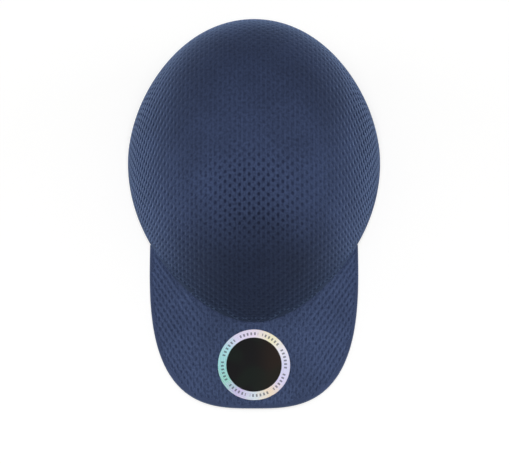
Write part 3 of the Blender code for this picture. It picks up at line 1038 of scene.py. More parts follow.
class Paint:
    """One material: its tree, its shader and the helpers to fill them."""

    def __init__(self, name: str, surface: Surface, effects: Effects) -> None:
        """Make a material with a Principled shader.

        Args:
            name: Name of the material.
            surface: Plain shader values.
            effects: Node groups that it may place.
        """
        self.material = bpy.data.materials.new(name)
        self.material.use_nodes = True
        self.effects = effects
        self.sheet = NodeSheet(self.material.node_tree)
        self.shader = self.material.node_tree.nodes["Principled BSDF"]
        for socket, value in surface.sockets().items():
            self.sheet.feed(self.shader.inputs[socket], value)

    def group(self, tree: NodeTree, **values: Feed) -> dict[str, Signal]:
        """Place a node group and read its outputs."""
        return self.sheet.reads(self.sheet.add("ShaderNodeGroup", values, node_tree=tree))

    def knit(self, vector: Feed, wales: float, courses: float) -> dict[str, Signal]:
        """Height and yarn mask of the knit."""
        return self.group(self.effects.knit, Vector=vector, Wales=wales, Courses=courses)

    def grain(self, fineness: float, drift: float) -> dict[str, Signal]:
        """Height and slow variation of the grain."""
        return self.group(
            self.effects.grain, Vector=self.position(), Fineness=fineness, Drift=drift
        )

    def tone(
        self, dark: Colour, light: Colour, mask: Feed, variation: Feed, strength: float
    ) -> Signal:
        """Colour between two tones.

        Args:
            dark: Tone where the mask is 0.
            light: Tone where the mask is 1.
            mask: Share of the lighter tone.
            variation: Slow variation from 0 to 1.
            strength: How much the variation changes the tone.

        Returns:
            The colour.
        """
        feeds = {
            "Dark": dark, "Light": light, "Mask": mask, "Variation": variation, "Strength": strength
        }
        return self.group(self.effects.shade, **feeds)["Color"]

    def uv(self, name: str) -> Signal:
        """Vector of a named UV map."""
        return self.sheet.read(self.sheet.add("ShaderNodeUVMap", uv_map=name), "UV")

    def attribute(self, name: str) -> Signal:
        """Value of a named attribute."""
        return self.sheet.read(self.sheet.add("ShaderNodeAttribute", attribute_name=name), "Fac")

    def position(self) -> Signal:
        """Object coordinates."""
        return self.sheet.read(self.sheet.add("ShaderNodeTexCoord"), "Object")

    def colour(self, source: Signal) -> None:
        """Feed the base colour."""
        self.sheet.feed(self.shader.inputs["Base Color"], source)

    def rough(self, source: Signal) -> None:
        """Feed the roughness."""
        self.sheet.feed(self.shader.inputs["Roughness"], source)

    def bump(self, height: Signal, strength: float, distance: float) -> None:
        """Feed the normal from a height."""
        feeds = {"Strength": strength, "Distance": distance, "Height": height}
        self.sheet.feed(
            self.shader.inputs["Normal"], self.sheet.add("ShaderNodeBump", feeds).outputs["Normal"]
        )


@dataclass(frozen=True)
class MeshFinish:
    """How one piece of mesh fabric is coloured."""

    name: str
    # Distances across where the ribs show and the flanks are made paler by painted light.
    flank: Zone
    slant: float
    ridge_tone: float
    gain: Colour


@dataclass(frozen=True)
class GrainFinish:
    """Moulded, foamed or napped surface with fine grain."""

    name: str
    surface: Surface
    dark: Colour
    light: Colour
    fineness: float
    depth: float


CROWN_FABRIC = MeshFinish("crown_mesh_knit", (42.0 * MM, 78.0 * MM), 1.0, 0.26, (1.0, 1.0, 1.0))
PEAK_FABRIC = MeshFinish("peak_mesh_knit", (18.0 * MM, 60.0 * MM), -1.0, 0.20, (1.27, 1.25, 1.18))
SHELL_PLASTIC = GrainFinish(
    "shell_moulded", Surface(0.42), (0.035, 0.035, 0.037), (0.050, 0.050, 0.053), 2600.0, 0.04 * MM
)
PAD_FOAM = GrainFinish(
    "closed_cell_foam", Surface(0.9, specular=0.2),
    (0.078, 0.080, 0.085), (0.120, 0.122, 0.130), 2300.0, 0.15 * MM,
)
HOOK_PILE = GrainFinish(
    "hook_tape_pile", Surface(0.85, sheen=0.3),
    (0.012, 0.012, 0.014), (0.030, 0.030, 0.034), 1900.0, 0.3 * MM,
)
BOARD_SHEET = GrainFinish(
    "peak_board_sheet", Surface(0.7, specular=0.2),
    (0.011, 0.015, 0.034), (0.017, 0.023, 0.050), 1400.0, 0.05 * MM,
)


@dataclass(frozen=True)
class Finishes:
    """Every material of the cap, each made by its own method."""

    effects: Effects
    navy_sheen: Colour = (0.38, 0.57, 1.0)
    rib_navy: Colour = (0.0440, 0.0655, 0.1420)
    # Navy of the hole floors: painted shade in the pits.
    cell_navy: Colour = (0.0150, 0.0220, 0.0560)
    cloth_dark: Colour = (0.0200, 0.0290, 0.0640)
    cloth_light: Colour = (0.0400, 0.0560, 0.1120)
    thread_dark: Colour = (0.035, 0.045, 0.085)
    thread_light: Colour = (0.075, 0.092, 0.160)
    steel_dark: Colour = (0.42, 0.42, 0.43)
    steel_light: Colour = (0.62, 0.62, 0.63)
    # Painted light: how much paler the flanks of the mesh fabric are made.
    painted_flank_light: float = 0.6
    rim_band: Zone = (83.0 * MM, 90.0 * MM)
    fleck_stretch: tuple[float, float, float] = (1.5, 1.25, 1.0)
    fleck_strength: float = 2.6
    ring_middle: float = 0.875
    ring_start: Zone = (0.762, 0.772)
    ring_marks: float = 54.0
    ring_breaks: float = 8.0
    ring_tones: tuple[tuple[float, Colour], ...] = (
        (0.00, (0.27, 0.64, 0.66)), (0.08, (0.24, 0.60, 0.53)), (0.17, (0.56, 0.48, 0.78)),
        (0.25, (0.62, 0.72, 0.80)), (0.33, (0.86, 0.70, 0.52)), (0.41, (0.68, 0.63, 0.88)),
        (0.50, (0.66, 0.67, 0.90)), (0.58, (0.84, 0.82, 0.92)), (0.66, (0.88, 0.82, 0.52)),
        (0.75, (0.80, 0.70, 0.88)), (0.84, (0.68, 0.64, 0.88)), (0.92, (0.34, 0.68, 0.74)),
        (1.00, (0.27, 0.64, 0.66)),
    )

    def mesh_fabric(self, finish: MeshFinish) -> Material:
        """Navy mesh knit with darker cells, and slanting ribs where a flank stretches it; the
        darker cells are painted shade in the holes, the paler flanks painted light, and a painted
        shade stored on the mesh scales the whole colour.

        Args:
            finish: How the piece is coloured.

        Returns:
            The material.
        """
        surface = Surface(
            0.82, specular=0.12, sheen=0.34, sheen_roughness=0.35, sheen_tint=self.navy_sheen
        )
        paint = Paint(finish.name, surface, self.effects)
        sheet, lattice = paint.sheet, paint.uv("lattice")
        knit, grain = paint.knit(lattice, 3.0, 5.0), paint.grain(1700.0, 28.0)
        column, row, _ = sheet.split(lattice)
        rib = sheet.grade(sheet.maths("COSINE", column * TURN) * -1.0, 0.55, 1.0)
        # The hole floors take the darker cell navy, painted shade in the pits, scaled by how open
        # the mesh is.
        cell = sheet.grade(paint.attribute("cell_floor"), 0.05, 0.75)
        painted_hole_shade = sheet.maths("MULTIPLY", cell, paint.attribute("openness"), clamp=True)
        across = sheet.maths("ABSOLUTE", sheet.split(paint.position())[0])
        side = sheet.grade(across, *finish.flank)
        stretched = sheet.add(
            "ShaderNodeVectorMath", {0: lattice, 1: self.fleck_stretch}, operation="MULTIPLY"
        )
        fleck = sheet.noise(sheet.read(stretched, "Vector"), 1.5, 3.0, 0.65)
        slanted = sheet.maths("ABSOLUTE", column) + row * finish.slant
        ridge = 0.0 - sheet.maths("COSINE", slanted * math.pi)
        ridge = ridge * (side * sheet.grade(across, *self.rim_band, 1.0, 0.25))
        lit = knit["Yarn"] * 0.35 + rib * 0.2 + ridge * finish.ridge_tone
        lit = sheet.maths("ADD", lit + (fleck - 0.5) * self.fleck_strength, 0.52, clamp=True)
        light = tuple(value * gain for value, gain in zip(self.rib_navy, finish.gain))
        # Painted light: the flanks are made paler, added to the grain's slow variation.
        slow = grain["Variation"] + side * self.painted_flank_light
        tone = paint.tone(self.cell_navy, light, lit * (1.0 - painted_hole_shade), slow, 0.22)
        # The colour is multiplied by the painted shade stored on the mesh.
        paint.colour(sheet.scale(tone, paint.attribute("stretch_and_painted_shade")))
        paint.bump(knit["Height"] * 0.6 + rib + grain["Height"] * 0.5 + ridge * 1.6, 0.6, 0.16 * MM)
        return paint.material

    def cloth(
        self,
        name: str,
        gain: float = 1.0,
        wales: float = 1100.0,
        courses: float = 900.0,
        painted_shade_on: bool = False,
    ) -> Material:
        """Plain navy knit with its own UV map in metres.

        Args:
            name: Name of the material.
            gain: Factor on both tones.
            wales: Knit columns in a metre.
            courses: Knit rows in a metre.
            painted_shade_on: Whether the piece has the stored painted shade, which darkens it.

        Returns:
            The material.
        """
        surface = Surface(0.85, specular=0.12, sheen=0.30, sheen_tint=self.navy_sheen)
        paint = Paint(name, surface, self.effects)
        knit, grain = paint.knit(paint.uv("cloth"), wales, courses), paint.grain(1500.0, 45.0)
        dark, light = (
            tuple(value * gain for value in tone) for tone in (self.cloth_dark, self.cloth_light)
        )
        colour = paint.tone(dark, light, knit["Yarn"], grain["Variation"], 0.25)
        # Where asked, the colour is multiplied by the painted shade stored on the mesh.
        paint.colour(paint.sheet.scale(colour, paint.attribute("stretch_and_painted_shade")) if painted_shade_on else colour)
        paint.bump(knit["Height"], 0.6, 0.12 * MM)
        return paint.material

    def webbing(self) -> Material:
        """Closely woven strap."""
        return self.cloth("strap_webbing", 0.8, 700.0, 700.0)

    def thread(self) -> Material:
        """Twisted sewing thread.

        Returns:
            The material.
        """
        paint = Paint("sewing_thread", Surface(0.6, sheen=0.2), self.effects)
        grain = paint.grain(5200.0, 90.0)
        tones = self.thread_dark, self.thread_light
        paint.colour(paint.tone(*tones, grain["Height"], grain["Variation"], 0.2))
        paint.bump(grain["Height"], 0.4, 0.05 * MM)
        return paint.material

    def grained(self, finish: GrainFinish) -> Material:
        """Surface with fine grain.

        Args:
            finish: Shader values, tones and grain.

        Returns:
            The material.
        """
        paint = Paint(finish.name, finish.surface, self.effects)
        grain = paint.grain(finish.fineness, 35.0)
        paint.colour(
            paint.tone(finish.dark, finish.light, grain["Height"], grain["Variation"], 0.3)
        )
        low, high = finish.surface.roughness - 0.06, finish.surface.roughness + 0.06
        paint.rough(paint.sheet.grade(grain["Variation"], 0.0, 1.0, low, high))
        paint.bump(grain["Height"], 0.5, finish.depth)
        return paint.material

    def foil(self) -> Material:
        """Foil sticker: rainbow ring with fine marks round a glossy black disc.

        Returns:
            The material.
        """
        paint = Paint("holographic_foil", Surface(0.18, specular=0.08), self.effects)
        sheet, disc = paint.sheet, paint.uv("disc")
        radius = sheet.length(disc)
        x, y, _ = sheet.split(disc)
        angle = sheet.maths("ARCTAN2", y, x)
        place = angle / TURN + 0.5 + (sheet.noise(disc, 9.0, 3.0, 0.7) - 0.5) * 0.10
        ramp = sheet.add("ShaderNodeValToRGB", {"Fac": place})
        tones = ramp.color_ramp.elements
        for spot, _ in self.ring_tones[1:-1]:
            tones.new(spot)
        for tone, (spot, colour) in zip(tones, self.ring_tones):
            tone.position, tone.color = spot, (*colour, 1.0)
        streak = sheet.maths("SINE", (radius + place) * 130.0)
        pale = sheet.blend(
            sheet.grade(streak, -1.0, 1.0, 0.0, 0.25), ramp.outputs["Color"], (0.9, 0.9, 0.92)
        )
        dash = sheet.grade(sheet.maths("SINE", angle * self.ring_marks), 0.0, 0.25)
        breaks = sheet.grade(sheet.maths("SINE", angle * self.ring_breaks), -0.92, -0.80)
        band = sheet.grade(
            sheet.maths("ABSOLUTE", radius - self.ring_middle), 0.034, 0.044, 1.0, 0.0
        )
        marked = sheet.blend(dash * breaks * band * 0.75, pale, (0.05, 0.06, 0.09))
        tint = sheet.blend(sheet.grade(x, -0.1, 0.7), (0.006, 0.006, 0.007), (0.020, 0.013, 0.010))
        cloud = sheet.grade(sheet.noise(disc, 1.1, 1.0), 0.45, 0.62, 0.0, 0.5)
        inside = sheet.grade(radius, *self.ring_start)
        paint.colour(sheet.blend(inside, sheet.blend(cloud, tint, (0.007, 0.014, 0.010)), marked))
        paint.bump(inside, 0.3, 0.05 * MM)
        return paint.material

    def steel(self) -> Material:
        """Brushed buckle metal: long fine lines across the strap.

        Returns:
            The material.
        """
        paint = Paint("brushed_buckle_steel", Surface(0.3, metallic=1.0), self.effects)
        sheet = paint.sheet
        stretch_and_painted_shade = sheet.add(
            "ShaderNodeMapping", {"Scale": (0.12, 0.12, 4.0), "Vector": paint.position()}
        )
        lines = sheet.noise(sheet.read(stretch_and_painted_shade, "Vector"), 1600.0, 3.0, 0.6)
        smudge = sheet.noise(paint.position(), 160.0, 3.0, 0.6)
        paint.colour(paint.tone(self.steel_dark, self.steel_light, lines, smudge, 0.2))
        paint.rough(sheet.grade(lines + smudge, 0.6, 1.4, 0.24, 0.42))
        paint.bump(lines, 0.25, 0.02 * MM)
        return paint.material


# ---------------------------------------------------------------- builders
def loft(
    shop: Workshop,
    name: str,
    rings: Sequence[Array],
    start: Optional[Array] = None,
    end: Optional[Array] = None,
) -> Object:
    """Skin over closed rings, closed at each end by a pole.

    Args:
        shop: Workshop that stores the mesh.
        name: Name of the piece.
        rings: Arrays of the same number of points.
        start: Pole before the first ring, or the ring's middle.
        end: Pole after the last ring, or the ring's middle.

    Returns:
        Closed object with a UV map in metres named cloth.
    """
    count, columns = len(rings), len(rings[0])
    start = rings[0].mean(axis=0) if start is None else start
    end = rings[-1].mean(axis=0) if end is None else end
    points = np.concatenate([*rings, start[None, :], end[None, :]])
    faces, chart = [], []
    girth = max(np.linalg.norm(np.diff(ring, axis=0), axis=1).sum() for ring in rings) / columns
    steps = [0.0]
    for low, high in zip(rings, rings[1:]):
        steps.append(steps[-1] + float(np.linalg.norm(high - low, axis=1).mean()))
    lead = float(np.linalg.norm(rings[0] - start, axis=1).mean())
    tail = float(np.linalg.norm(rings[-1] - end, axis=1).mean())
    for ring in range(count - 1):
        for column in range(columns):
            after = (column + 1) % columns
            faces.append((ring * columns + column, ring * columns + after,
                          (ring + 1) * columns + after, (ring + 1) * columns + column))
            low, high = steps[ring], steps[ring + 1]
            left, right = column * girth, (column + 1) * girth
            chart += [(left, low), (right, low), (right, high), (left, high)]
    last = (count - 1) * columns
    for column in range(columns):
        after = (column + 1) % columns
        middle, left, right = (column + 0.5) * girth, column * girth, (column + 1) * girth
        faces.append((count * columns, after, column))
        chart += [(middle, -lead), (right, 0.0), (left, 0.0)]
        faces.append((last + column, last + after, count * columns + 1))
        chart += [(left, steps[-1]), (right, steps[-1]), (middle, steps[-1] + tail)]
    mesh = shop.mesh(name, points, faces)
    layer = mesh.uv_layers.new(name="cloth")
    layer.data.foreach_set("uv", np.asarray(chart, np.float32).ravel())
    close_up(mesh)
    return shop.link(name, mesh)


@dataclass(frozen=True)
class MeshSkin:
    """Layer of mesh fabric: one small pit for each hole of a staggered lattice."""

    shop: Workshop
    chart: Field
    surface: Field
    edge: Field
    ground: Callable[[Array], Array]
    openness: Field
    # Painted shade: factor on the colour at plan points, stored on each vertex.
    stretch_and_painted_shade: Field
    columns: int
    rows: tuple[int, int]
    first_row: float = 1.9 * MM
    corner_margin: float = 0.9 * MM
    dip: float = 0.10 * MM
    backing: float = 0.62 * MM
    pit: float = 0.50 * MM
    pit_start: Zone = (1.2 * MM, 4.0 * MM)
    least_pit: float = 0.22
    proud: float = 0.07 * MM
    rim: Zone = (0.37, 0.45)
    floor: Zone = (0.27, 0.34)
    step: float = 0.02 * MM

    def normals(self, a: Array, b: Array) -> Array:
        """Unit normals of the surface, away from its inside.

        Args:
            a: Distances across.
            b: Distances along.

        Returns:
            Unit normals.
        """
        along_a = self.surface(a + self.step, b) - self.surface(a - self.step, b)
        along_b = self.surface(a, b + self.step) - self.surface(a, b - self.step)
        normal = np.cross(along_a, along_b)
        normal /= np.linalg.norm(normal, axis=-1, keepdims=True)
        return np.where(normal[..., 2:] < 0.0, -normal, normal)

    def hold(self, a: Array, b: Array) -> tuple[Array, Array]:
        """Move points that lie past the margin back to it.

        Args:
            a: Distances across.
            b: Distances along.

        Returns:
            Distances across and along.
        """
        for _ in range(6):
            distance = self.edge(a, b)
            slope_a = (self.edge(a + self.step, b) - distance) / self.step
            slope_b = (self.edge(a, b + self.step) - distance) / self.step
            square = np.maximum(slope_a**2 + slope_b**2, 1e-6)
            short = np.maximum(self.corner_margin - distance, 0.0) / square
            a, b = a + short * slope_a, b + short * slope_b
        return a, b

    def build(self, name: str) -> Object:
        """Closed fabric layer with its lattice, cell and openness values.

        Args:
            name: Name of the piece.

        Returns:
            Object with UV map lattice and attributes cell_floor and openness.
        """
        m, n = np.meshgrid(np.arange(-self.columns, self.columns + 1), np.arange(*self.rows))
        even = (m + n) % 2 == 0
        m, n = m[even], n[even]
        spot = self.chart(m.astype(float), n.astype(float))
        keep = self.edge(spot[..., 0], spot[..., 1]) > self.first_row
        m, n = m[keep], n[keep]
        turns = [(1, 0), (0, 1), (-1, 0), (0, -1)]
        wanted = {}
        uses: dict[tuple[int, int], int] = {}
        for p, q in zip(m.tolist(), n.tolist()):
            for dp, dq in turns:
                site = (p + dp, q + dq)
                wanted.setdefault(site, len(wanted))
                uses[site] = uses.get(site, 0) + 1
        sites = np.array(list(wanted.keys()), float)
        whole = np.array([uses[site] == 4 for site in wanted])
        corner_spot = self.chart(sites[:, 0], sites[:, 1])
        corner_a, corner_b = self.hold(corner_spot[..., 0], corner_spot[..., 1])
        corner_edge = self.edge(corner_a, corner_b)
        sink = np.where(whole, 0.0, self.ground(corner_edge) + self.dip)
        normal = self.normals(corner_a, corner_b)
        outside = self.surface(corner_a, corner_b)
        blocks = [
            outside - normal * sink[:, None], outside - normal * (sink + self.backing)[:, None]
        ]
        charts = [sites, sites]
        floors = [np.zeros(len(sites)), np.zeros(len(sites))]
        angles = np.arange(8) * math.pi / 4.0
        layers = ((self.rim, -self.proud, 0.0), (self.floor, self.pit, 0.85))
        for (radius_p, radius_q), depth, floor in layers:
            p = m[:, None] + radius_p * np.cos(angles)
            q = n[:, None] + radius_q * np.sin(angles)
            blocks.append(self.placed(p.ravel(), q.ravel(), depth))
            charts.append(np.stack([p.ravel(), q.ravel()], axis=1))
            floors.append(np.full(p.size, floor))
        blocks.append(self.placed(m.astype(float), n.astype(float), self.pit * 1.15))
        charts.append(np.stack([m, n], axis=1).astype(float))
        floors.append(np.ones(len(m)))
        faces = self.faces(m.tolist(), n.tolist(), wanted, len(sites), len(m))
        points, chart = np.concatenate(blocks), np.concatenate(charts)
        mesh = self.shop.mesh(name, points, faces)
        write_uv(mesh, "lattice", chart)
        spot = self.chart(chart[:, 0], chart[:, 1])
        values = (
            ("cell_floor", np.concatenate(floors)),
            ("openness", self.openness(spot[..., 0], spot[..., 1])),
            # Painted shade that the colour is multiplied by.
            ("stretch_and_painted_shade", self.stretch_and_painted_shade(spot[..., 0], spot[..., 1])),
        )
        for label, data in values:
            self.shop.values(mesh, label, data)
        close_up(mesh)
        return self.shop.link(name, mesh)

    def placed(self, p: Array, q: Array, depth: float) -> Array:
        """Points of the layer at lattice places, a depth below the surface.

        Args:
            p: Lattice columns.
            q: Lattice rows.
            depth: Depth below the surface.

        Returns:
            Points of the layer.
        """
        spot = self.chart(p, q)
        a, b = self.hold(spot[..., 0], spot[..., 1])
        fade = smooth_step(self.edge(a, b), *self.pit_start) * mix(
            self.least_pit, 1.0, self.openness(a, b)
        )
        return self.surface(a, b) - self.normals(a, b) * (depth * fade)[:, None]

    def faces(
        self,
        m: list[int],
        n: list[int],
        corner: dict[tuple[int, int], int],
        corners: int,
        cells: int,
    ) -> list[tuple[int, ...]]:
        """Triangles and quads of every cell, its backing and the layer's edge.

        Args:
            m: Columns of the cells.
            n: Rows of the cells.
            corner: Number of the point at each lattice site.
            corners: How many corner points.
            cells: How many cells.

        Returns:
            Point numbers of each face.
        """
        made = []
        rim, floor, middle = 2 * corners, 2 * corners + 8 * cells, 2 * corners + 16 * cells
        sides: dict[tuple[int, int], int] = {}
        for cell, (p, q) in enumerate(zip(m, n)):
            ends = [corner[(p + 1, q)], corner[(p, q + 1)], corner[(p - 1, q)], corner[(p, q - 1)]]
            ring = [rim + 8 * cell + item for item in range(8)]
            base = [floor + 8 * cell + item for item in range(8)]
            for turn in range(4):
                here, there = ends[turn], ends[(turn + 1) % 4]
                first, second, third = ring[2 * turn], ring[2 * turn + 1], ring[(2 * turn + 2) % 8]
                made += [(here, there, second), (here, second, first), (there, third, second)]
                sides[(here, there)] = sides.get((here, there), 0) + 1
            for item in range(8):
                after = (item + 1) % 8
                made.append((ring[item], ring[after], base[after], base[item]))
                made.append((base[item], base[after], middle + cell))
            made.append(tuple(corners + item for item in reversed(ends)))
        for here, there in sides:
            if (there, here) not in sides:
                made.append((there, here, here + corners, there + corners))
        return made


@dataclass(frozen=True)
class RowPlan:
    """Stitches of one row: polyline points and whether it closes."""

    points: Array
    closed: bool = False


@dataclass(frozen=True)
class StitchMaker:
    """Geometry Nodes that lay thread stitches along rows."""

    shop: Workshop
    thread: Material
    spacing: float = 3.4 * MM
    length: float = 2.4 * MM
    breadth: float = 0.42 * MM

    def tree(self) -> ShapeTree:
        """Tree that lays a bead of thread at each step along the rows.

        Returns:
            The tree, whose inputs are the spacing, the length and the breadth.
        """
        made = ShapeTree("thread_stitches", "Float", ("Spacing", "Length", "Breadth"), self.thread)
        sheet, entry = made.sheet, made.entry
        curve = sheet.add("GeometryNodeMeshToCurve", {"Mesh": entry["Geometry"]}).outputs["Curve"]
        feeds = {"Curve": curve, "Length": entry["Spacing"]}
        spread = sheet.add("GeometryNodeCurveToPoints", feeds, mode="LENGTH").outputs
        bead = sheet.add("GeometryNodeMeshUVSphere", {"Segments": 6, "Rings": 4, "Radius": 0.5})
        turn = sheet.add(
            "FunctionNodeAlignRotationToVector", {"Vector": spread["Tangent"]}, axis="Z"
        )
        breadth = entry["Breadth"]
        size = sheet.add("ShaderNodeCombineXYZ", {"X": breadth, "Y": breadth, "Z": entry["Length"]})
        feeds = {
            "Points": spread["Points"],
            "Instance": bead.outputs["Mesh"],
            "Rotation": turn.outputs["Rotation"],
            "Scale": size.outputs["Vector"],
        }
        made.close(sheet.add("GeometryNodeInstanceOnPoints", feeds).outputs["Instances"])
        return made

    def sew(self, name: str, rows: Sequence[RowPlan], body: Body, slot: Slot) -> Object:
        """One piece of stitches along every row.

        Args:
            name: Name of the piece.
            rows: Rows to sew.
            body: Body that the stitches ride on.
            slot: Record slot of the thread.

        Returns:
            The piece.
        """
        points, edges = [], []
        for row in rows:
            start, count = len(points), len(row.points)
            points += row.points.tolist()
            edges += [(start + item, start + item + 1) for item in range(count - 1)]
            if row.closed:
                edges.append((start + count - 1, start))
        piece = self.shop.link(name, self.shop.mesh(name, points, [], edges))
        sizes = {"Spacing": self.spacing, "Length": self.length, "Breadth": self.breadth}
        self.tree().run(self.shop, piece, sizes)
        close_up(piece.data)
        return self.shop.finish(piece, self.thread, body, slot)


# ---------------------------------------------------------------- cover
@dataclass(frozen=True)
class CoverLining:
    """Rule for how deep the lining lies under the mesh fabric."""

    flush: float = 0.05 * MM
    deep: float = 0.75 * MM
    near: float = 1.7 * MM
    far: float = 3.8 * MM

    def depth(self, distance: Array) -> Array:
        """Depth below the outer surface at distances from the edge."""
        return mix(self.flush, self.deep, smooth_step(distance, self.near, self.far))


@dataclass(frozen=True)
class CrownCover:
    """Seamless crown: a lining with rolled edges under a layer of mesh fabric."""

    shop: Workshop
    crown: CrownForm
    arch: ArchForm
    lining: CoverLining = field(default_factory=lambda: CoverLining(near=2.3 * MM, far=4.6 * MM))
    column_pitch: float = 3.2 * MM
    column_gain: float = 0.75 * MM
    gain_end: float = 50.0 * MM
    row_pitch: float = 3.3 * MM
    roll: float = 0.8 * MM
    hem_points: int = 140
    arch_points: int = 44
    dome_rings: int = 30
    table_rows: int = 1200
    flat_area: float = 0.064
    arch_margin: float = 4.0 * MM
    open_front: Zone = (30.0 * MM, 66.0 * MM)
    open_flank: Zone = (56.0 * MM, 80.0 * MM)
    closed_low: Zone = (84.0 * MM, 108.0 * MM)
    closed_side: Zone = (12.0 * MM, 44.0 * MM)
    closed_rim: Zone = (83.0 * MM, 90.0 * MM)
    closed_hem: Zone = (3.0 * MM, 11.0 * MM)
    smooth_back: Zone = (5.0 * MM, 50.0 * MM)
    smooth_end: Zone = (100.0 * MM, 122.0 * MM)
    # Painted shade: zones and shares of the darkening of the lower front and of the top behind the
    # middle.
    painted_shade_front: Zone = (65.0 * MM, 113.0 * MM)
    painted_shade_side: Zone = (54.0 * MM, 82.0 * MM)
    painted_shade_share: float = 0.58
    painted_top_shade_front: Zone = (-10.0 * MM, 75.0 * MM)
    painted_top_shade_side: Zone = (45.0 * MM, 80.0 * MM)
    painted_top_shade_rear: Zone = (30.0 * MM, 85.0 * MM)
    painted_top_shade_share: float = 0.32

    def edge(self, x: Array, level: Array) -> Array:
        """Distance from the hem or the arch, whichever is nearer.

        Args:
            x: Distances across.
            level: Distances along, before the lean.

        Returns:
            Distances.
        """
        phi, height = self.crown.over(x, level)
        hem = height - self.crown.hem(phi)
        around = np.where(level > 0.0, self.arch.level(x, height, self.arch_margin), 1.0)
        return np.minimum(hem, around)

    def openness(self, x: Array, level: Array) -> Array:
        """How open the mesh looks: most in front of the top and at the flanks; it sets the depth of
        the pits and how much painted shade the hole floors get.

        Args:
            x: Distances across.
            level: Distances along, before the lean.

        Returns:
            Values from 0 to 1.
        """
        across = np.abs(x)
        front = smooth_step(-level, *self.open_front)
        low = 1.0 - 0.95 * smooth_step(-level, *self.closed_low)
        near = 1.0 - 0.70 * smooth_step(across, *self.closed_side)
        middle = 0.26 + 0.74 * front * low * near
        back = smooth_step(level, *self.smooth_back) * (1.0 - smooth_step(level, *self.smooth_end))
        middle = middle * (1.0 - 0.8 * back)
        flank = 0.75 * smooth_step(across, *self.open_flank)
        rim = 1.0 - 0.75 * smooth_step(across, *self.closed_rim)
        hem = mix(0.12, 1.0, smooth_step(self.edge(x, level), *self.closed_hem))
        return np.clip(np.maximum(middle, flank) * rim * hem, 0.0, 1.0)

    def stretch_and_painted_shade(self, x: Array, level: Array) -> Array:
        """Painted shade: factors on the colour that darken the lower front and, less, the top
        around and behind the middle.

        Args:
            x: Distances across.
            level: Distances along, before the lean.

        Returns:
            Factors on the colour.
        """
        # Painted shade: the lower front is darkened most, the top behind the middle less, both
        # fading toward the sides.
        across = np.abs(x)
        low = smooth_step(-level, *self.painted_shade_front)
        low = low * (1.0 - 0.8 * smooth_step(across, *self.painted_shade_side))
        back = 1.0 - smooth_step(-level, *self.painted_top_shade_front)
        back = back * (1.0 - 0.5 * smooth_step(across, *self.painted_top_shade_side))
        back = back * (1.0 - 0.85 * smooth_step(level, *self.painted_top_shade_rear))
        return 1.0 - self.painted_shade_share * low - self.painted_top_shade_share * back

    def chart_table(self) -> tuple[Array, Array, Array, Array]:
        """Tables from lattice place to plan point.

        Returns:
            Column places, their distances across, row places and the levels at both.
        """
        lift = np.sin(np.linspace(math.pi / 2, -0.02, 2000))
        height = self.crown.rise * lift - self.crown.hem_above_widest
        ridge = self.crown.point(np.zeros_like(height), height)
        reach = lengths(ridge)
        pitch = self.column_pitch + self.column_gain * smooth_step(reach, 0.0, self.gain_end)
        place = places(reach, pitch)
        last = math.floor(place[-1] * 4.0) / 4.0
        half = np.linspace(0.0, last, int(last * 4) + 1)
        across = np.interp(half, place, ridge[:, 0])
        rows = np.linspace(-70.0, 60.0, 521)
        turn = np.linspace(-math.pi / 2, math.pi / 2, self.table_rows)
        levels = []
        for x in across:
            front = self.crown.front_reach * self.limit(x, self.crown.taper_front)
            rear = self.crown.rear_reach * self.limit(x, self.crown.taper_rear)
            level = np.where(turn < 0.0, front, rear) * np.sin(turn)
            line = self.crown.surface(np.full_like(level, x), level)
            length = lengths(line)
            length -= np.interp(0.0, level, length)
            levels.append(np.interp(rows * self.row_pitch, length, level))
        columns = np.concatenate([-half[:0:-1], half])
        across = np.concatenate([-across[:0:-1], across])
        return columns, across, rows, np.array(levels[:0:-1] + levels)

    def limit(self, x: float, taper: float) -> float:
        """Share of the end's reach where the widest outline lies at a distance across."""
        across = min(1.0, (x / self.crown.half_breadth) ** 2)
        return math.sqrt(
            halve(lambda sine: (1.0 - taper * sine) * (1.0 - sine) <= across, 0.0, 1.0)
        )

    def charted(self) -> Field:
        """Function from lattice places to plan points.

        Returns:
            The function.
        """
        columns, across, rows, levels = self.chart_table()
        step_p, step_q = columns[1] - columns[0], rows[1] - rows[0]

        def chart(p: Array, q: Array) -> Array:
            """Plan points of lattice places.

            Args:
                p: Lattice columns.
                q: Lattice rows.

            Returns:
                Distances across and along.
            """
            at_p = np.clip((p - columns[0]) / step_p, 0.0, len(columns) - 1.001)
            at_q = np.clip((q - rows[0]) / step_q, 0.0, len(rows) - 1.001)
            low_p, low_q = at_p.astype(int), at_q.astype(int)
            share_p, share_q = at_p - low_p, at_q - low_q
            before = mix(levels[low_p, low_q], levels[low_p, low_q + 1], share_q)
            after = mix(levels[low_p + 1, low_q], levels[low_p + 1, low_q + 1], share_q)
            x = np.interp(p, columns, across)
            return np.stack([x, mix(before, after, share_p)], axis=-1)

        return chart

    def outline(self, grow: float) -> tuple[Array, Array]:
        """Closed edge line of the crown, moved a distance into the cover.

        Args:
            grow: Distance from the edge.

        Returns:
            Plan angles and heights, from the +X arch foot round the front and over the arch.
        """
        foot_x = self.arch.half_width + grow
        foot = float(self.crown.angle_at(foot_x, np.array([grow]), math.pi / 2)[0])
        hem_phi = np.linspace(foot, -math.pi - foot, self.hem_points)
        hem_height = self.crown.hem(hem_phi) + grow
        share = np.linspace(1.0, 0.0, self.arch_points + 2)[1:-1]
        x, z = self.arch.edge(share, grow, grow)
        side = self.crown.angle_at(x, z, math.pi / 2)
        arch_phi = np.where(x >= 0.0, side, math.pi - side) - TURN
        return np.concatenate([hem_phi, arch_phi]), np.concatenate([hem_height, z])

